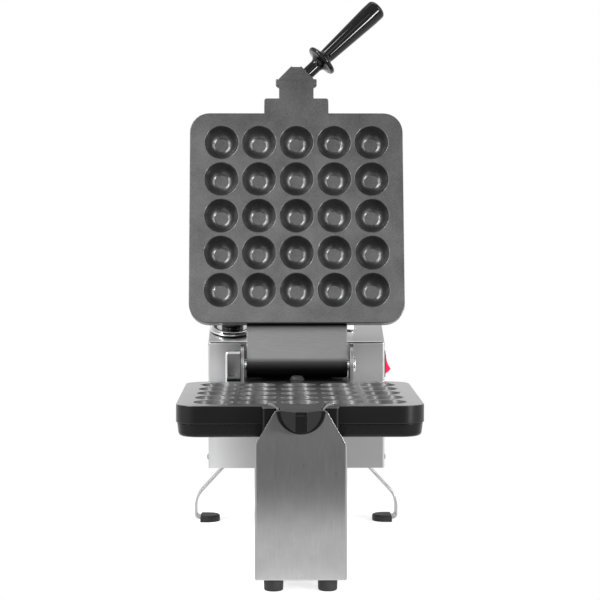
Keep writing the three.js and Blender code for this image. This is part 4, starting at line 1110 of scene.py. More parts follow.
def rear_leg():
    """A flat strip bent from the housing's base out to the knee, down to the elbow and in to the foot."""
    line = rounded([(LEG_KNEE - LEG_FLANGE, LEG_TOP), (LEG_KNEE, LEG_TOP, LEG_KNEE_ROUND),
                    (LEG_OUTER, LEG_ELBOW, LEG_ELBOW_ROUND), (LEG_OUTER, LEG_FOOT, LEG_FOOT_ROUND),
                    (LEG_FOOT_END, LEG_FOOT)], 14, closed=False)
    shape = prism("front", strip(line, LEG_SHEET), LEG_MIDDLE - LEG_HALF, LEG_MIDDLE + LEG_HALF)
    return soften(shape, 0.5, 3, clamp=False)


def rear_shoe():
    """A moulded rubber shoe, round at its inner end, slipped over the foot of the leg."""
    (inner, outer), _, up = limits("rear_foot_right")
    half = half_size("rear_foot_right", Y)
    plan = [Vector((outer, -half)), *arc(half, -pi / 2, -1.5 * pi, 30, (inner + half, 0)),
            Vector((outer, half))]
    shape = prism("plan", plan[::-1], *up)
    soften(shape, 1.0, 3, lambda edge: max(ends(edge, Z)) < WELD, clamp=False)
    soften(shape, SHOE_ROUND, 5, lambda edge: min(ends(edge, Z)) > SHOE_ROUND, clamp=False)
    wide, slot = LEG_HALF + SEAT_GAP, LEG_SHEET / 2 + SEAT_GAP
    pocket = block((LEG_FOOT_END - SEAT_GAP, outer + OVERRUN), (-wide, wide),
                   (LEG_FOOT - slot, LEG_FOOT + slot))
    return placed(combined("DIFFERENCE", shape, pocket), Matrix.Translation((0, LEG_MIDDLE, 0)))


def other_side(shape):
    """A shape turned to the left-hand side, about the upright line through the legs' middle."""
    return placed(shape, Matrix.Translation((0, 2 * LEG_MIDDLE, 0)) @ Matrix.Rotation(pi, 4, "Z"))


# Housing

def on_slope(across, up, lift=0.0):
    """A place on the sloping panel, with its own up axis square to it."""
    back = HOUSING_FRONT + up * cos(SLOPE) - lift * sin(SLOPE)
    height = SLOPE_FOOT + up * sin(SLOPE) + lift * cos(SLOPE)
    return Matrix.Translation((across, back, height)) @ Matrix.Rotation(SLOPE, 4, "X")


def housing_solid(inset, past, bend):
    """The housing's solid, drawn in by an inset and run past its open back and foot."""
    front, back, foot = HOUSING_FRONT + inset, HOUSING_BACK + past, HOUSING_FOOT - past
    front_top, back_top = [SLOPE_FOOT + (y - HOUSING_FRONT) * tan(SLOPE) - inset / cos(SLOPE)
                           for y in (front, back)]
    shape = prism("side", [(front, foot), (back, foot), (back, back_top), (front, front_top)],
                  inset - HOUSING_HALF, HOUSING_HALF - inset)
    return soften(shape, bend, 6, lambda edge: max(ends(edge, Z)) >= foot + WELD
                  and min(ends(edge, Y)) <= back - WELD)


def housing_cover():
    """A folded cover, open at its back and foot, with the holes for what it carries."""
    sheet = HOUSING_SHEET
    round_holes = [placed(bar("plan", radius + SEAT_GAP, -2 * sheet, OVERRUN, steps=SMALL_STEPS),
                          on_slope(middle(node, X), up))
                   for node, radius, up in (("knob_skirt", SPINDLE_HOLE, KNOB_UP),
                                            ("pilot_lamp_bezel", LAMP_HOLE, LAMP_UP))]
    reach = [half_size("switch_frame", axis) - sheet + SEAT_GAP for axis in (X, Y, Z)]
    back, up = [(middle("switch_frame", axis) - reach[axis], middle("switch_frame", axis) + reach[axis])
                for axis in (Y, Z)]
    return combined(
        "DIFFERENCE", housing_solid(0, 0, HOUSING_BEND), housing_solid(sheet, OVERRUN, HOUSING_BEND - sheet),
        bar("front", SHAFT_HOLE, HOUSING_FRONT - OVERRUN, HOUSING_FRONT + 2 * sheet, (0, PARTING)),
        *round_holes, block((HOUSING_HALF - 2 * sheet, HOUSING_HALF + OVERRUN), back, up))


def housing_base():
    """The folded tray that closes the housing's foot."""
    (_, half), back, (foot, top) = limits("housing_base")
    return soften(prism("front", folded(top, foot, half, HOUSING_SHEET, BASE_BEND), *back), FOLDED_EDGE, 2)


def housing_back_panel():
    """The flat panel that closes the housing's back, with the hole for the gland."""
    (_, half), (front, back), (foot, top) = limits("housing_back_panel")
    outline = rounded([(-half, foot, 1), (half, foot, 1), (half, top, 2), (-half, top, 2)], 5)
    hole = bar("front", GLAND_BODY + SEAT_GAP, front - OVERRUN, back + OVERRUN,
               (middle("cable_gland", X), middle("cable_gland", Z)), SMALL_STEPS)
    panel = combined("DIFFERENCE", prism("front", outline, front, back), hole)
    return soften(panel, FOLDED_EDGE, 2, clamp=False)


def cable_gland():
    """A gland turned on the up axis: body, six-sided nut with its corners turned off, and a domed cap."""
    start, end = limits("cable_gland", (0, HOUSING_BACK, 0))[Y]
    core = lathed([(GLAND_BORE, start), (GLAND_BODY, start, 0.5), (GLAND_BODY, end - 3),
                   (GLAND_BODY - 1, end, 2.4), (GLAND_BORE, end, 0.4)])
    foot, top = SEAT_GAP, SEAT_GAP + GLAND_NUT_HEIGHT
    profile = [(0, foot - OVERRUN), (GLAND_NUT + 1, foot - OVERRUN), (GLAND_NUT + 1, top - 2.5),
               (GLAND_NUT - 2.2, top + 0.6), (0, top + 0.6)]
    nut = six_sided(GLAND_NUT, foot, top, profile, GLAND_BODY - 0.5)
    seat = Matrix.Translation((middle("cable_gland", X), HOUSING_BACK, middle("cable_gland", Z)))
    return placed(combined("UNION", core, soften(nut, 0.3, 2)), seat @ Matrix.Rotation(-pi / 2, 4, "X"))


# Controls, drawn standing on the sloping panel

def knob_skirt():
    """A turned skirt: rounded rim, groove for a dark ring, raised ring and the floor round the grip."""
    bore, rim, height = 3.3, SKIRT_RADIUS, SKIRT_HEIGHT
    outside = [(bore, 0), (rim - 1.4, 0, 0.5), (rim, 1.4, 0.8), (rim, height - 2.2, 1.2),
               (rim - 2.4, height, 1.2)]
    groove = [(rim - 4.4, height, 0.4), (rim - 4.9, height - 2.4, 0.3), (rim - 7.2, height - 2.4, 0.3)]
    inside = [(rim - 7.8, height - 0.9, 0.5), (rim - 11, height - 0.95, 0.6), (rim - 12.2, height - 2, 0.3),
              (bore, height - 2)]
    return lathed(outside + groove + inside, 6, FINE_STEPS)


def knob_dial():
    """A dark ring laid in the groove of the skirt."""
    inner, outer = SKIRT_RADIUS - 8.2, SKIRT_RADIUS - 5
    foot, top = SKIRT_HEIGHT - 2.35, SKIRT_HEIGHT - 0.7
    return lathed([(inner, foot), (outer, foot), (outer, top, 0.3), (inner, top, 0.3)], 3, FINE_STEPS)


def knob_grip():
    """A ribbed grip with a raised pointer on its top."""
    radius, foot, top = GRIP_RADIUS, GRIP_FOOT, GRIP_FOOT + GRIP_HEIGHT
    levels = ((radius, foot, 0.3), (radius, foot + 1, 0.6), (radius - 0.1, foot + 2.2, 1),
              (radius - 0.35, top - 4, 1), (radius - 0.5, top - 2.4, 0.7), (radius - 0.9, top - 1.2, 0.3),
              (radius - 1.6, top - 0.4, 0), (radius - 2.6, top, 0), (radius - 4.5, top - 0.3, 0))
    rings = ribbed_rings(levels, once_round(8 * GRIP_RIBS),
                         lambda a: GRIP_GROOVE * (1 + cos(GRIP_RIBS * a)) / 2)
    pointer = soften(block((-0.8, 0.8), (2.2 - radius, -3), (top - 1, top)), 0.3, 2)
    return combined("UNION", skin([[(0, 0, foot)], *rings, [(0, 0, top - 0.3)]]), pointer)


def lamp_bezel():
    """The bright ring round the pilot lamp, with a neck in the panel."""
    radius, height, bore = BEZEL_RADIUS, 1.8, 4.1
    return lathed([(bore, SEAT_GAP - 2), (LAMP_HOLE, SEAT_GAP - 2), (LAMP_HOLE, SEAT_GAP),
                   (radius, SEAT_GAP, 0.2), (radius, SEAT_GAP + height * 0.45, 0.5),
                   (radius - 1.1, SEAT_GAP + height, 0.6), (bore, SEAT_GAP + height, 0.3)])


def lamp_lens():
    """A clear lens with upright ribs and a domed top."""
    radius, foot, top = LENS_RADIUS, -1.5, LAMP_HEIGHT
    levels = ((radius, foot, 0), (radius, 1.6, 0), (radius, 2.2, 1), (radius, top - 3.2, 1),
              (radius * 0.93, top - 2, 0.5), (radius * 0.76, top - 0.95, 0), (radius * 0.42, top - 0.25, 0))
    rings = ribbed_rings(levels, once_round(8 * LENS_RIBS),
                         lambda a: LENS_GROOVE * abs(cos(LENS_RIBS * a / 2)))
    return skin([[(0, 0, foot)], *rings, [(0, 0, top)]])


def switch_frame():
    """The switch's moulded frame with the hollow body behind it."""
    (inner, outer), back, up = limits("switch_frame")
    seat, wall = HOUSING_HALF + SEAT_GAP, 1.5

    def frame_block(inset, start, end, corner):
        return prism("side", rectangle(back, up, corner, inset), start, end)

    flange = soften(frame_block(0, seat, outer, 2), 0.7, 4, lambda edge: min(ends(edge, X)) > outer - WELD)
    body = frame_block(wall, inner, seat + OVERRUN / 2, 1)
    well = frame_block(SWITCH_WALL, inner + 1.2, outer + OVERRUN, 0.6)
    return combined("DIFFERENCE", combined("UNION", flange, body), well)


def rocker():
    """The rocker, drawn level about its own pivot: round ends and a hollow face."""
    deep, tall = [half_size("switch_frame", axis) - SWITCH_WALL - SEAT_GAP for axis in (Y, Z)]
    face, root = ROCKER_DEPTH / 2 + ROCKER_PROUD, -ROCKER_DEPTH / 2
    outer, inner = acos(face / tall), acos(root / tall)
    rise = tall * sin(outer)
    hollow = [Vector((face - 4 * ROCKER_DIP * t * (1 - t), rise * (2 * t - 1))) for t in between(16)]
    outline = arc(tall, -inner, -outer, 20) + hollow + arc(tall, outer, inner, 20)
    return soften(prism("front", outline, -deep, deep), 0.45, 3, clamp=False)


# Hinge arm, yoke and shaft, drawn closed and from the parting plane

def pin_bore(half):
    """What is cut out for the hinge pin as far as a half width at each side."""
    return bar("side", PIN_RADIUS + SEAT_GAP, -half - OVERRUN, half + OVERRUN, PIN_CENTRE)


def hinge_arm():
    """A wide barrel on the pin with a web up to the upper case and a flange over it."""
    root = IRON_SIZE + SEAT_GAP

    def touch(height, side):
        back, up = HINGE_BACK - root, HINGE_RISE - height
        return pi + atan2(up, back) + side * acos(BARREL_RADIUS / hypot(back, up))

    top = IRON_DEPTH + SEAT_GAP + ARM_FLANGE
    start, end = touch(ARM_ROOT_LOW, 1), touch(IRON_DEPTH + SEAT_GAP, -1) + 2 * pi
    side = [Vector((root, ARM_ROOT_LOW)), *arc(BARREL_RADIUS, start, end, 60, PIN_CENTRE),
            Vector((root + SEAT_GAP + 4, top)), Vector((ARM_FLANGE_FRONT, top)),
            Vector((ARM_FLANGE_FRONT, top - ARM_FLANGE)), Vector((root, top - ARM_FLANGE))]
    shape = prism("side", side, -ARM_HALF, ARM_HALF)
    return combined("DIFFERENCE", soften(shape, ARM_EDGE, 3, clamp=False), pin_bore(ARM_HALF))


def yoke():
    """Floor, front and back plates, two ears for the pin, and a flange under the lower case."""
    root, sheet, floor_foot, floor_top = IRON_SIZE + SEAT_GAP, 4, -6, -2
    plate_half, plate_foot, plate_top = 40, -34, 20
    (_, outer), (_, back), (foot, _) = limits("carrier_yoke", IRON_ORIGIN)
    back_plate = rounded([(-plate_half, plate_foot, 4), (plate_half, plate_foot, 4),
                          (plate_half, plate_top, 6), (-plate_half, plate_top, 6)])
    ear = [*arc(EAR_RADIUS, pi, 0, 40, PIN_CENTRE), Vector((HINGE_BACK + EAR_RADIUS, floor_foot)),
           Vector((HINGE_BACK - EAR_RADIUS, floor_foot))]
    pieces = [
        block((-outer, outer), (root, back), (floor_foot, floor_top)),
        block((-ARM_HALF, ARM_HALF), (root, root + sheet), (foot, floor_top - OVERRUN)),
        block((-ARM_HALF, ARM_HALF), (ARM_FLANGE_FRONT, root + sheet / 2), (foot, foot + ARM_FLANGE)),
        prism("front", back_plate, back - sheet, back),
        prism("side", ear, -outer, -outer + sheet),
        prism("side", ear, outer - sheet, outer),
    ]
    shape = combined("UNION", *[soften(piece, 0.5) for piece in pieces])
    wires = bar("front", SHAFT_BORE, back - sheet - OVERRUN, back + OVERRUN)
    return combined("DIFFERENCE", shape, pin_bore(outer), wires)


def wire_duct():
    """A polished box beside the left ear, open towards it and below."""
    (left, right), (front, back), (foot, top) = limits("wire_duct", IRON_ORIGIN)
    wall = DUCT_WALL
    outer = soften(block((left, right), (front, back), (foot, top)), DUCT_BEND, 5, lambda edge:
                   min(ends(edge, X)) <= right - WELD and max(ends(edge, Z)) >= foot + WELD)
    inner = block((left + wall, right + OVERRUN), (front + wall, back - wall), (foot - OVERRUN, top - wall))
    return combined("DIFFERENCE", outer, inner)


def hinge_pin():
    """A plain pin with a round head."""
    tip, end = limits("hinge_pin")[X]
    head, radius = end - PIN_HEAD_HEIGHT, PIN_HEAD_RADIUS
    return placed(lathed([(0, tip), (PIN_RADIUS, tip, 0.8), (PIN_RADIUS, head), (radius, head, 0.3),
                          (radius, end, 1.1), (0, end)]), along_pin)


def hinge_nut():
    """The pin's six-sided nut, with its corners turned off at both ends."""
    (start, end), radius, ease = limits("hinge_pin_nut")[X], PIN_HEAD_RADIUS, 1.5
    profile = [(0, start), (radius - ease, start), (radius + 0.4, start + ease), (radius + 0.4, end - ease),
               (radius - ease, end), (0, end)]
    return placed(six_sided(radius, start, end, profile, PIN_RADIUS + SEAT_GAP), along_pin)


def bumper():
    """The small domed rubber in the middle of the yoke."""
    foot, top = limits("closing_bumper", IRON_ORIGIN)[Z]
    radius = half_size("closing_bumper", X)
    shape = lathed([(0, foot), (radius, foot, 0.3), (radius, foot + 2.4, 0.8),
                    (radius * 0.72, top - 0.5, 2.5), (0, top)], 6)
    return placed(shape, Matrix.Translation((0, middle("closing_bumper", Y) - IRON_FRONT, 0)))


def turning_shaft():
    """The hollow shaft behind the yoke, with its hub."""
    start, end = limits("turning_shaft", IRON_ORIGIN)[Y]
    shoulder = start + HUB_THICKNESS
    shape = lathed([(SHAFT_BORE, start, 0.5), (HUB_RADIUS, start, 0.8), (HUB_RADIUS, shoulder, 0.8),
                    (SHAFT_RADIUS, shoulder, 0.6), (SHAFT_RADIUS, end, 1), (SHAFT_BORE, end, 0.5)],
                   steps=FINE_STEPS)
    return placed(shape, Matrix.Rotation(-pi / 2, 4, "X"))


# Screws

def pan_screw(head_radius, head_height, radius, length):
    """A pan head screw that points down from its seat, with a cross recess."""
    shape = lathed([(0, -length), (radius, -length, 0.4), (radius, 0), (head_radius, 0, 0.15),
                    (head_radius, head_height * 0.35, 0.5), (head_radius * 0.6, head_height, 0.7),
                    (0, head_height)], 4, SMALL_STEPS)
    deep, arm, wide = head_height * 0.45, head_radius * 0.55, head_radius * 0.11
    cuts = [block((-a, a), (-b, b), (deep, head_height + OVERRUN)) for a, b in ((arm, wide), (wide, arm))]
    return combined("DIFFERENCE", shape, *cuts)


# Settings that a user would change

def length_setting(name, description, default):
    return FloatProperty(name=name, description=description, default=default, unit="LENGTH", precision=4)


def power_setting(name, description, default):
    return FloatProperty(name=name, description=description, default=default, min=0, unit="POWER")


def brightness_setting(name, description, default):
    return FloatProperty(name=name, description=description, default=default, min=0)


class CookerSizes(bpy.types.PropertyGroup):
    balls_per_side: IntProperty(name="Balls per side", description="Half balls along each side of a plate",
                                default=5)
    ball_pitch: length_setting("Ball pitch", "Distance between neighbouring half balls", 0.0422)
    ball_mouth: length_setting("Ball mouth", "Diameter of a half ball at the plate's face", 0.038)
    ball_depth: length_setting("Ball depth", "Depth of a half ball", 0.0155)
    ball_floor: length_setting("Ball floor", "Diameter of the flat floor of a half ball", 0.015)
    mouth_round: length_setting("Mouth rounding", "Rounding of a half ball's edge", 0.0012)
    grip_length: length_setting("Grip length", "Length of the handle's moulding", 0.111)
    bend: length_setting("Column bend", "Outer radius of the bends in the front column", 0.0025)
    sheet_edge: length_setting("Column edge", "Rounding of the cut edges of the front column", 0.0003)


def colour_setting(name, description, default):
    return FloatVectorProperty(name=name, description=description, default=default, size=3, min=0, max=1,
                               subtype="COLOR")


class CookerColours(bpy.types.PropertyGroup):
    coating: colour_setting("Coating", "Non-stick coat of the plates", (0.088, 0.088, 0.09))
    case: colour_setting("Case", "Enamel of the heating cases", (0.009, 0.009, 0.0095))
    steel: colour_setting("Sheet steel", "Brushed stainless sheet", (0.46, 0.46, 0.465))
    satin: colour_setting("Satin steel", "Hinge arm and yoke", (0.35, 0.35, 0.355))
    polish: colour_setting("Polished steel", "Saddle, knob skirt and duct", (0.78, 0.78, 0.79))
    rubber: colour_setting("Rubber", "Feet and bumper", (0.012, 0.012, 0.013))
    handle: colour_setting("Handle", "Glossy black moulding", (0.004, 0.004, 0.0045))
    rocker: colour_setting("Rocker", "Red rocker of the switch", (1.0, 0.014, 0.1))
    lens: colour_setting("Lamp lens", "Pale lens of the pilot lamp", (0.97, 0.97, 0.95))


class CookerStage(bpy.types.PropertyGroup):
    ambient: brightness_setting("Ambient", "Even light from all round", 0.4)
    front_power: power_setting("Front lamp", "Power of the wide soft lamp over the camera", 4.1)
    left_power: power_setting("Left lamps", "Power of the tall lamp at the left; the low one follows", 25)
    right_power: power_setting("Right lamps", "Power of the narrow right lamp; the low one follows", 6.2)
    room_low: brightness_setting("Room below", "How bright metal sees the room below the table's edge", 0.08)
    room_front: brightness_setting("Room in front", "How bright metal sees the room in front", 0.44)
    room_left: brightness_setting("Room at the left", "How bright metal sees the left wall", 0.7)
    room_right: brightness_setting("Room at the right", "How bright metal sees the right wall", 0.55)
    skylight: brightness_setting("Skylight", "How bright metal sees the panel over the object", 2)
    floor_glow: brightness_setting("Floor glow", "How far the floor near the object shows white", 0.68)


# Stage

CAMERA_PLACE = Vector((-23.9, -1908.0, 366.2))
CAMERA_PITCH = radians(-3.01)
CAMERA_YAW = radians(0.78)
CAMERA_LENS = 108.8
CAMERA_SENSOR = 36
FLOOR_FRONT = -640
FLOOR_MIDDLE = 60
FLOOR_BACK = 4000
FLOOR_HALF = 3000
FLOOR_DROP = 0.05
FLOOR_FADE = (0.24, 0.42)
FLOOR_NARROWING = 2.1
WHITE = (1, 1, 1, 1)

# Each lamp's name, place, width and height in metres, the setting that feeds it and its share of that
LAMPS = (
    ("front lamp", (-0.3, -1.7, 1.04), 1.3, 0.7, "front_power", 1),
    ("left lamp", (-1.14, -0.6, 1.74), 0.5, 0.9, "left_power", 1),
    ("low left lamp", (-1.5, -1.05, 0.8), 0.3, 0.9, "left_power", 0.36),
    ("right lamp", (1.2, -0.72, 1.2), 0.3, 0.9, "right_power", 1),
    ("low right lamp", (1.14, -1.28, 0.36), 0.34, 0.4, "right_power", 2.4),
)
LAMP_AIM = Vector((0, 0, 0.25))


def pale_floor(stage):
    """A pale floor with soft shadows near the object that goes over to even white further out."""
    nodes = Finish("pale floor")
    rays = nodes.add("ShaderNodeLightPath")
    seen = (rays["Is Camera Ray"] + rays["Is Glossy Ray"] + rays["Is Transmission Ray"]).clamped()
    place = nodes.add("ShaderNodeMapping", Vector=nodes.place["Object"],
                      Location=(0, -FLOOR_MIDDLE * MM, 0), Scale=(FLOOR_NARROWING, 1, 1))
    distance = nodes.add("ShaderNodeVectorMath", place, settings={"operation": "LENGTH"})["Value"]
    lit = nodes.add("ShaderNodeBsdfDiffuse", (0.8, 0.8, 0.8, 1))
    glow = nodes.add("ShaderNodeEmission", WHITE, seen * stage.floor_glow)
    near, far = nodes.add("ShaderNodeAddShader", lit, glow), nodes.add("ShaderNodeEmission", WHITE, 1.0)
    floor = nodes.add("ShaderNodeMixShader", seen * distance.above(*FLOOR_FADE), near, far)
    nodes.add("ShaderNodeOutputMaterial", floor)
    return nodes.material


def studio_world(stage):
    """White to the camera; metal sees white behind, pale walls and a dim room in front."""
    world = bpy.data.worlds.new("studio")
    world.use_nodes = True
    nodes = Nodes(world.node_tree)
    rays = nodes.add("ShaderNodeLightPath")
    way = nodes.add("ShaderNodeSeparateXYZ", nodes.add("ShaderNodeTexCoord")["Generated"])
    white = (rays["Is Camera Ray"] + rays["Is Transmission Ray"]).clamped()
    behind = way["Y"].above(-0.25, 0.1)
    overhead = way["Z"].above(0.35, 0.65)
    left = (way["X"] * -1).above(0.3, 0.8) * way["Z"].above(0.7, 0.45)
    right = way["X"].above(0.7, 0.95)
    level_up = way["Z"].above(-0.12, -0.07)
    ahead = stage.room_low + (stage.room_front - stage.room_low) * level_up
    window = way["Z"].above(0.2, 0.3) * way["Z"].above(0.7, 0.6)
    walls = stage.room_left * left * (0.4 + 0.6 * level_up) + right * (stage.room_right + 1.5 * window)
    skylight = way["Z"].above(0.84, 0.92) * way["Y"].above(-0.02, 0.1)
    room = (1 - behind) * (ahead + walls) + behind * (1 - 0.5 * overhead) + stage.skylight * skylight
    glossy = rays["Is Glossy Ray"]
    strength = white + (1 - white) * (glossy * room + (1 - glossy) * stage.ambient)
    nodes.add("ShaderNodeOutputWorld", nodes.add("ShaderNodeBackground", WHITE, strength))
    bpy.context.scene.world = world


def soft_lamp(name, place, width, height, power):
    """An area lamp that faces the middle of the object."""
    lamp = bpy.data.lights.new(name, "AREA")
    lamp.shape = "RECTANGLE"
    lamp.size, lamp.size_y, lamp.energy = width, height, power
    holder = bpy.data.objects.new(name, lamp)
    holder.location = place
    holder.rotation_euler = (LAMP_AIM - holder.location).to_track_quat("-Z", "Y").to_euler()
    bpy.context.scene.collection.objects.link(holder)


class COOKER_OT_stage(bpy.types.Operator):
    """Lays the floor, hangs the lamps and sets up the camera"""
    bl_idname = "cooker.stage"
    bl_label = "Stage"

    def execute(self, context):
        stage = context.scene.cooker_stage
        context.scene.view_settings.view_transform = "Standard"
        studio_world(stage)
        shape, half = bmesh.new(), FLOOR_HALF
        corners = ((-half, FLOOR_FRONT), (half, FLOOR_FRONT), (half, FLOOR_BACK), (-half, FLOOR_BACK))
        shape.faces.new([shape.verts.new((x, y, -FLOOR_DROP)) for x, y in corners])
        mesh = in_metres(shape, level)
        mesh.materials.append(pale_floor(stage))
        floor = bpy.data.objects.new("floor", mesh)
        context.scene.collection.objects.link(floor)
        for name, place, width, height, setting, share in LAMPS:
            soft_lamp(name, place, width, height, getattr(stage, setting) * share)
        lens = bpy.data.cameras.new("camera")
        lens.lens, lens.sensor_width = CAMERA_LENS, CAMERA_SENSOR
        camera = bpy.data.objects.new("camera", lens)
        camera.location = CAMERA_PLACE * MM
        camera.rotation_euler = (pi / 2 + CAMERA_PITCH, 0, -CAMERA_YAW)
        context.scene.collection.objects.link(camera)
        context.scene.camera = camera
        return {"FINISHED"}


class COOKER_OT_grill_plates(bpy.types.Operator):
    """Casts both grill plates with their half balls and journals"""
    bl_idname = "cooker.grill_plates"
    bl_label = "Grill plates"

    def execute(self, context):
        sizes, finish = context.scene.cooker_sizes, finish_of("nonstick_casting")
        for side, place, body in IRONS:
            dress(f"{side}_plate_casting", grill_plate(sizes, finish), place, body, "nonstick_casting",
                  f"{side}_grill_plate")
        return {"FINISHED"}


class COOKER_OT_heating_cases(bpy.types.Operator):
    """Presses the enamelled case behind each plate"""
    bl_idname = "cooker.heating_cases"
    bl_label = "Heating cases"

    def execute(self, context):
        for side, place, body in IRONS:
            dress(f"{side}_case_tray", heating_case(), place, body, "dark_case", f"{side}_heating_case")
        return {"FINISHED"}


class COOKER_OT_handle(bpy.types.Operator):
    """Turns the handle and its stud"""
    bl_idname = "cooker.handle"
    bl_label = "Handle"

    def execute(self, context):
        seat = handle_place()
        dress("handle_boss", handle_stud(), seat, "lid", "polished_steel", "handle_stud")
        dress("handle_moulding", handle_grip(context.scene.cooker_sizes),
              seat @ Matrix.Translation((0, 0, BOSS_LENGTH)), "lid", "black_moulding", "handle_grip")
        return {"FINISHED"}


class COOKER_OT_column(bpy.types.Operator):
    """Folds the front column, its saddle and its cover, and fits the feet"""
    bl_idname = "cooker.column"
    bl_label = "Front column"

    def execute(self, context):
        sizes = context.scene.cooker_sizes
        steel = ("stand", "stainless_sheet")
        dress("column_sheet", column_sheet(sizes), level, *steel, "column_shell")
        dress("column_cover_plate", back_cover(), level, *steel, "column_back_cover")
        dress("spine_beam", spine(), level, *steel, "spine_channel")
        dress("spine_block", riser(), level, *steel, "spine_riser")
        dress("journal_saddle", saddle_strip(), iron, "stand", "polished_steel", "saddle_strip")
        for side in ("left", "right"):
            node = f"front_foot_{side}"
            seat = Matrix.Translation((middle(node, X), middle(node, Y), 0))
            dress(f"front_foot_rubber_{side}", front_foot(), seat, "stand", "black_rubber", node)
        return {"FINISHED"}


class COOKER_OT_rear_legs(bpy.types.Operator):
    """Bends the rear legs and slips the shoes on"""
    bl_idname = "cooker.rear_legs"
    bl_label = "Rear legs"

    def execute(self, context):
        for make, name, slot in ((rear_leg, "rear_leg", "stainless_sheet"),
                                 (rear_shoe, "rear_foot", "black_rubber")):
            dress(f"{name}_shape_right", make(), level, "stand", slot, f"{name}_right")
            dress(f"{name}_shape_left", other_side(make()), level, "stand", slot, f"{name}_left")
        return {"FINISHED"}


class COOKER_OT_housing(bpy.types.Operator):
    """Folds the rear housing and fits its base, back panel and cable gland"""
    bl_idname = "cooker.housing"
    bl_label = "Rear housing"

    def execute(self, context):
        for make in (housing_cover, housing_base, housing_back_panel):
            name = make.__name__
            dress(f"{name}_sheet", make(), level, "stand", "stainless_sheet", name)
        dress("cable_gland_body", cable_gland(), level, "stand", "matt_moulding", "cable_gland")
        return {"FINISHED"}


class COOKER_OT_controls(bpy.types.Operator):
    """Fits the thermostat knob, the pilot lamp and the rocker switch"""
    bl_idname = "cooker.controls"
    bl_label = "Controls"

    def execute(self, context):
        knob = on_slope(middle("knob_skirt", X), KNOB_UP, KNOB_LIFT)
        lamp = on_slope(middle("pilot_lamp_bezel", X), LAMP_UP)
        dress("knob_skirt_plate", knob_skirt(), knob, "knob", "polished_steel", "knob_skirt")
        dress("knob_dial_ring", knob_dial(), knob, "knob", "matt_moulding")
        dress("knob_grip_moulding", knob_grip(), knob, "knob", "black_moulding", "knob_grip")
        dress("lamp_bezel_ring", lamp_bezel(), lamp, "stand", "polished_steel", "pilot_lamp_bezel")
        dress("lamp_lens_cap", lamp_lens(), lamp, "stand", "lamp_lens", "pilot_lamp_lens")
        dress("switch_frame_moulding", switch_frame(), level, "stand", "matt_moulding", "switch_frame")
        joint = joint_named("rocker_tilt")
        lean = -radians(joint["range_deg"][1] / 2)
        pivot = Matrix.Translation(Vector(joint["pos_m"]) / MM) @ Matrix.Rotation(lean, 4, "Y")
        dress("rocker_moulding", rocker(), pivot, "rocker", "red_moulding", "rocker_cap")
        return {"FINISHED"}


class COOKER_OT_carrier(bpy.types.Operator):
    """Builds the yoke behind the lower iron, with its pin, duct, bumper and shaft"""
    bl_idname = "cooker.carrier"
    bl_label = "Carrier"

    def execute(self, context):
        dress("yoke_frame", yoke(), iron, "carrier", "satin_steel", "carrier_yoke")
        dress("wire_duct_box", wire_duct(), iron, "carrier", "polished_steel", "wire_duct")
        dress("hinge_pin_bar", hinge_pin(), iron, "carrier", "polished_steel", "hinge_pin")
        dress("hinge_nut_six", hinge_nut(), iron, "carrier", "satin_steel", "hinge_pin_nut")
        dress("bumper_rubber", bumper(), iron, "carrier", "black_rubber", "closing_bumper")
        dress("shaft_with_hub", turning_shaft(), iron, "carrier", "satin_steel", "turning_shaft")
        return {"FINISHED"}


class COOKER_OT_hinge_arm(bpy.types.Operator):
    """Builds the lid's hinge arm"""
    bl_idname = "cooker.hinge_arm"
    bl_label = "Hinge arm"

    def execute(self, context):
        dress("hinge_arm_barrel", hinge_arm(), closed_lid, "lid", "satin_steel", "hinge_arm")
        return {"FINISHED"}


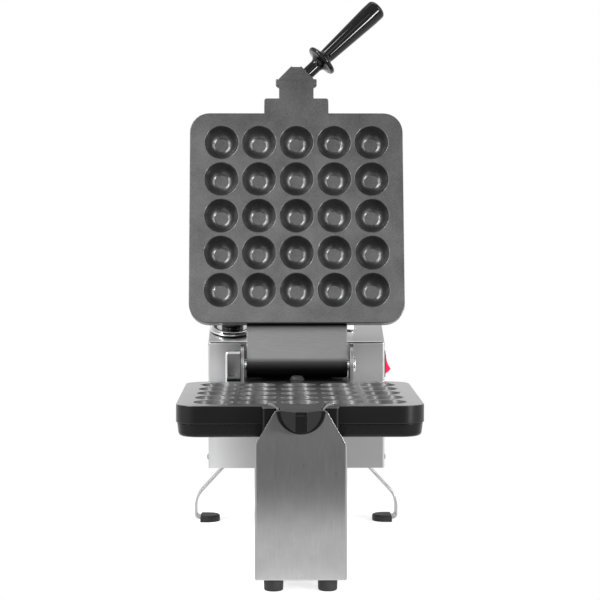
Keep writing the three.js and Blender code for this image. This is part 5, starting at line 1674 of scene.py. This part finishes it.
class COOKER_OT_screws(bpy.types.Operator):
    """Sets out the screws of the housing and of both heating cases"""
    bl_idname = "cooker.screws"
    bl_label = "Screws"

    def execute(self, context):
        steel = finish_of("satin_steel")
        seat = HOUSING_HALF + SEAT_GAP
        sides = {f"cover_screw_{side}_{end}": sign for side, sign in (("left", -1), ("right", 1))
                 for end in ("front", "back")}
        points = [((sign * seat, middle(node, Y), middle(node, Z)), (sign, 0, 0))
                  for node, sign in sides.items()]
        dress("cover_screw_set", set_out(pan_screw(*COVER_SCREW), points, steel), level, "stand",
              "satin_steel", *sides)
        for half, place, body in IRONS:
            nodes = [name for name in frame["nodes"] if name.startswith(f"{half}_case_screw")]
            points = []
            for node in nodes:
                centre = place.inverted() @ Vector([middle(node, axis) for axis in (X, Y, Z)])
                on_flange = ARM_FLANGE + SEAT_GAP if "_back_" in node else 0
                points.append(((centre.x, centre.y, -IRON_DEPTH - SEAT_GAP - on_flange), (0, 0, -1)))
            dress(f"{half}_case_screws", set_out(pan_screw(*CASE_SCREW), points, steel), place, body,
                  "satin_steel", *nodes)
        return {"FINISHED"}


class COOKER_OT_inner_parts(bpy.types.Operator):
    """Gives every piece that keeps its own shape its finish"""
    bl_idname = "cooker.inner_parts"
    bl_label = "Other finishes"

    def execute(self, context):
        slots = {row["node"]: row["material_slot"] for row in frame["record"]["subparts"]}
        for name, node in frame["nodes"].items():
            node.data.materials.clear()
            node.data.materials.append(finish_of(slots[name]))
        return {"FINISHED"}


class COOKER_PT_panel(bpy.types.Panel):
    """Settings and steps of the waffle ball iron"""
    bl_idname = "COOKER_PT_panel"
    bl_label = "Waffle ball iron"
    bl_space_type = "VIEW_3D"
    bl_region_type = "UI"
    bl_category = "Waffle iron"

    def draw(self, context):
        for group in ("cooker_sizes", "cooker_colours", "cooker_stage"):
            settings = getattr(context.scene, group)
            box = self.layout.box()
            for key in settings.__annotations__:
                box.prop(settings, key)
        for step in STEPS:
            self.layout.operator(step.bl_idname)


STEPS = (COOKER_OT_stage, COOKER_OT_inner_parts, COOKER_OT_grill_plates, COOKER_OT_heating_cases,
         COOKER_OT_handle, COOKER_OT_column, COOKER_OT_rear_legs, COOKER_OT_housing, COOKER_OT_controls,
         COOKER_OT_carrier, COOKER_OT_hinge_arm, COOKER_OT_screws)
GROUPS = {"cooker_sizes": CookerSizes, "cooker_colours": CookerColours, "cooker_stage": CookerStage}


def register():
    for kind in (*GROUPS.values(), *STEPS, COOKER_PT_panel):
        bpy.utils.register_class(kind)
    for name, kind in GROUPS.items():
        setattr(bpy.types.Scene, name, PointerProperty(type=kind))


def unregister():
    for name in GROUPS:
        delattr(bpy.types.Scene, name)
    for kind in reversed((*GROUPS.values(), *STEPS, COOKER_PT_panel)):
        bpy.utils.unregister_class(kind)


def main():
    register()
    for step in STEPS:
        group, name = step.bl_idname.split(".")
        getattr(getattr(bpy.ops, group), name)()


if __name__ == "__main__":
    main()
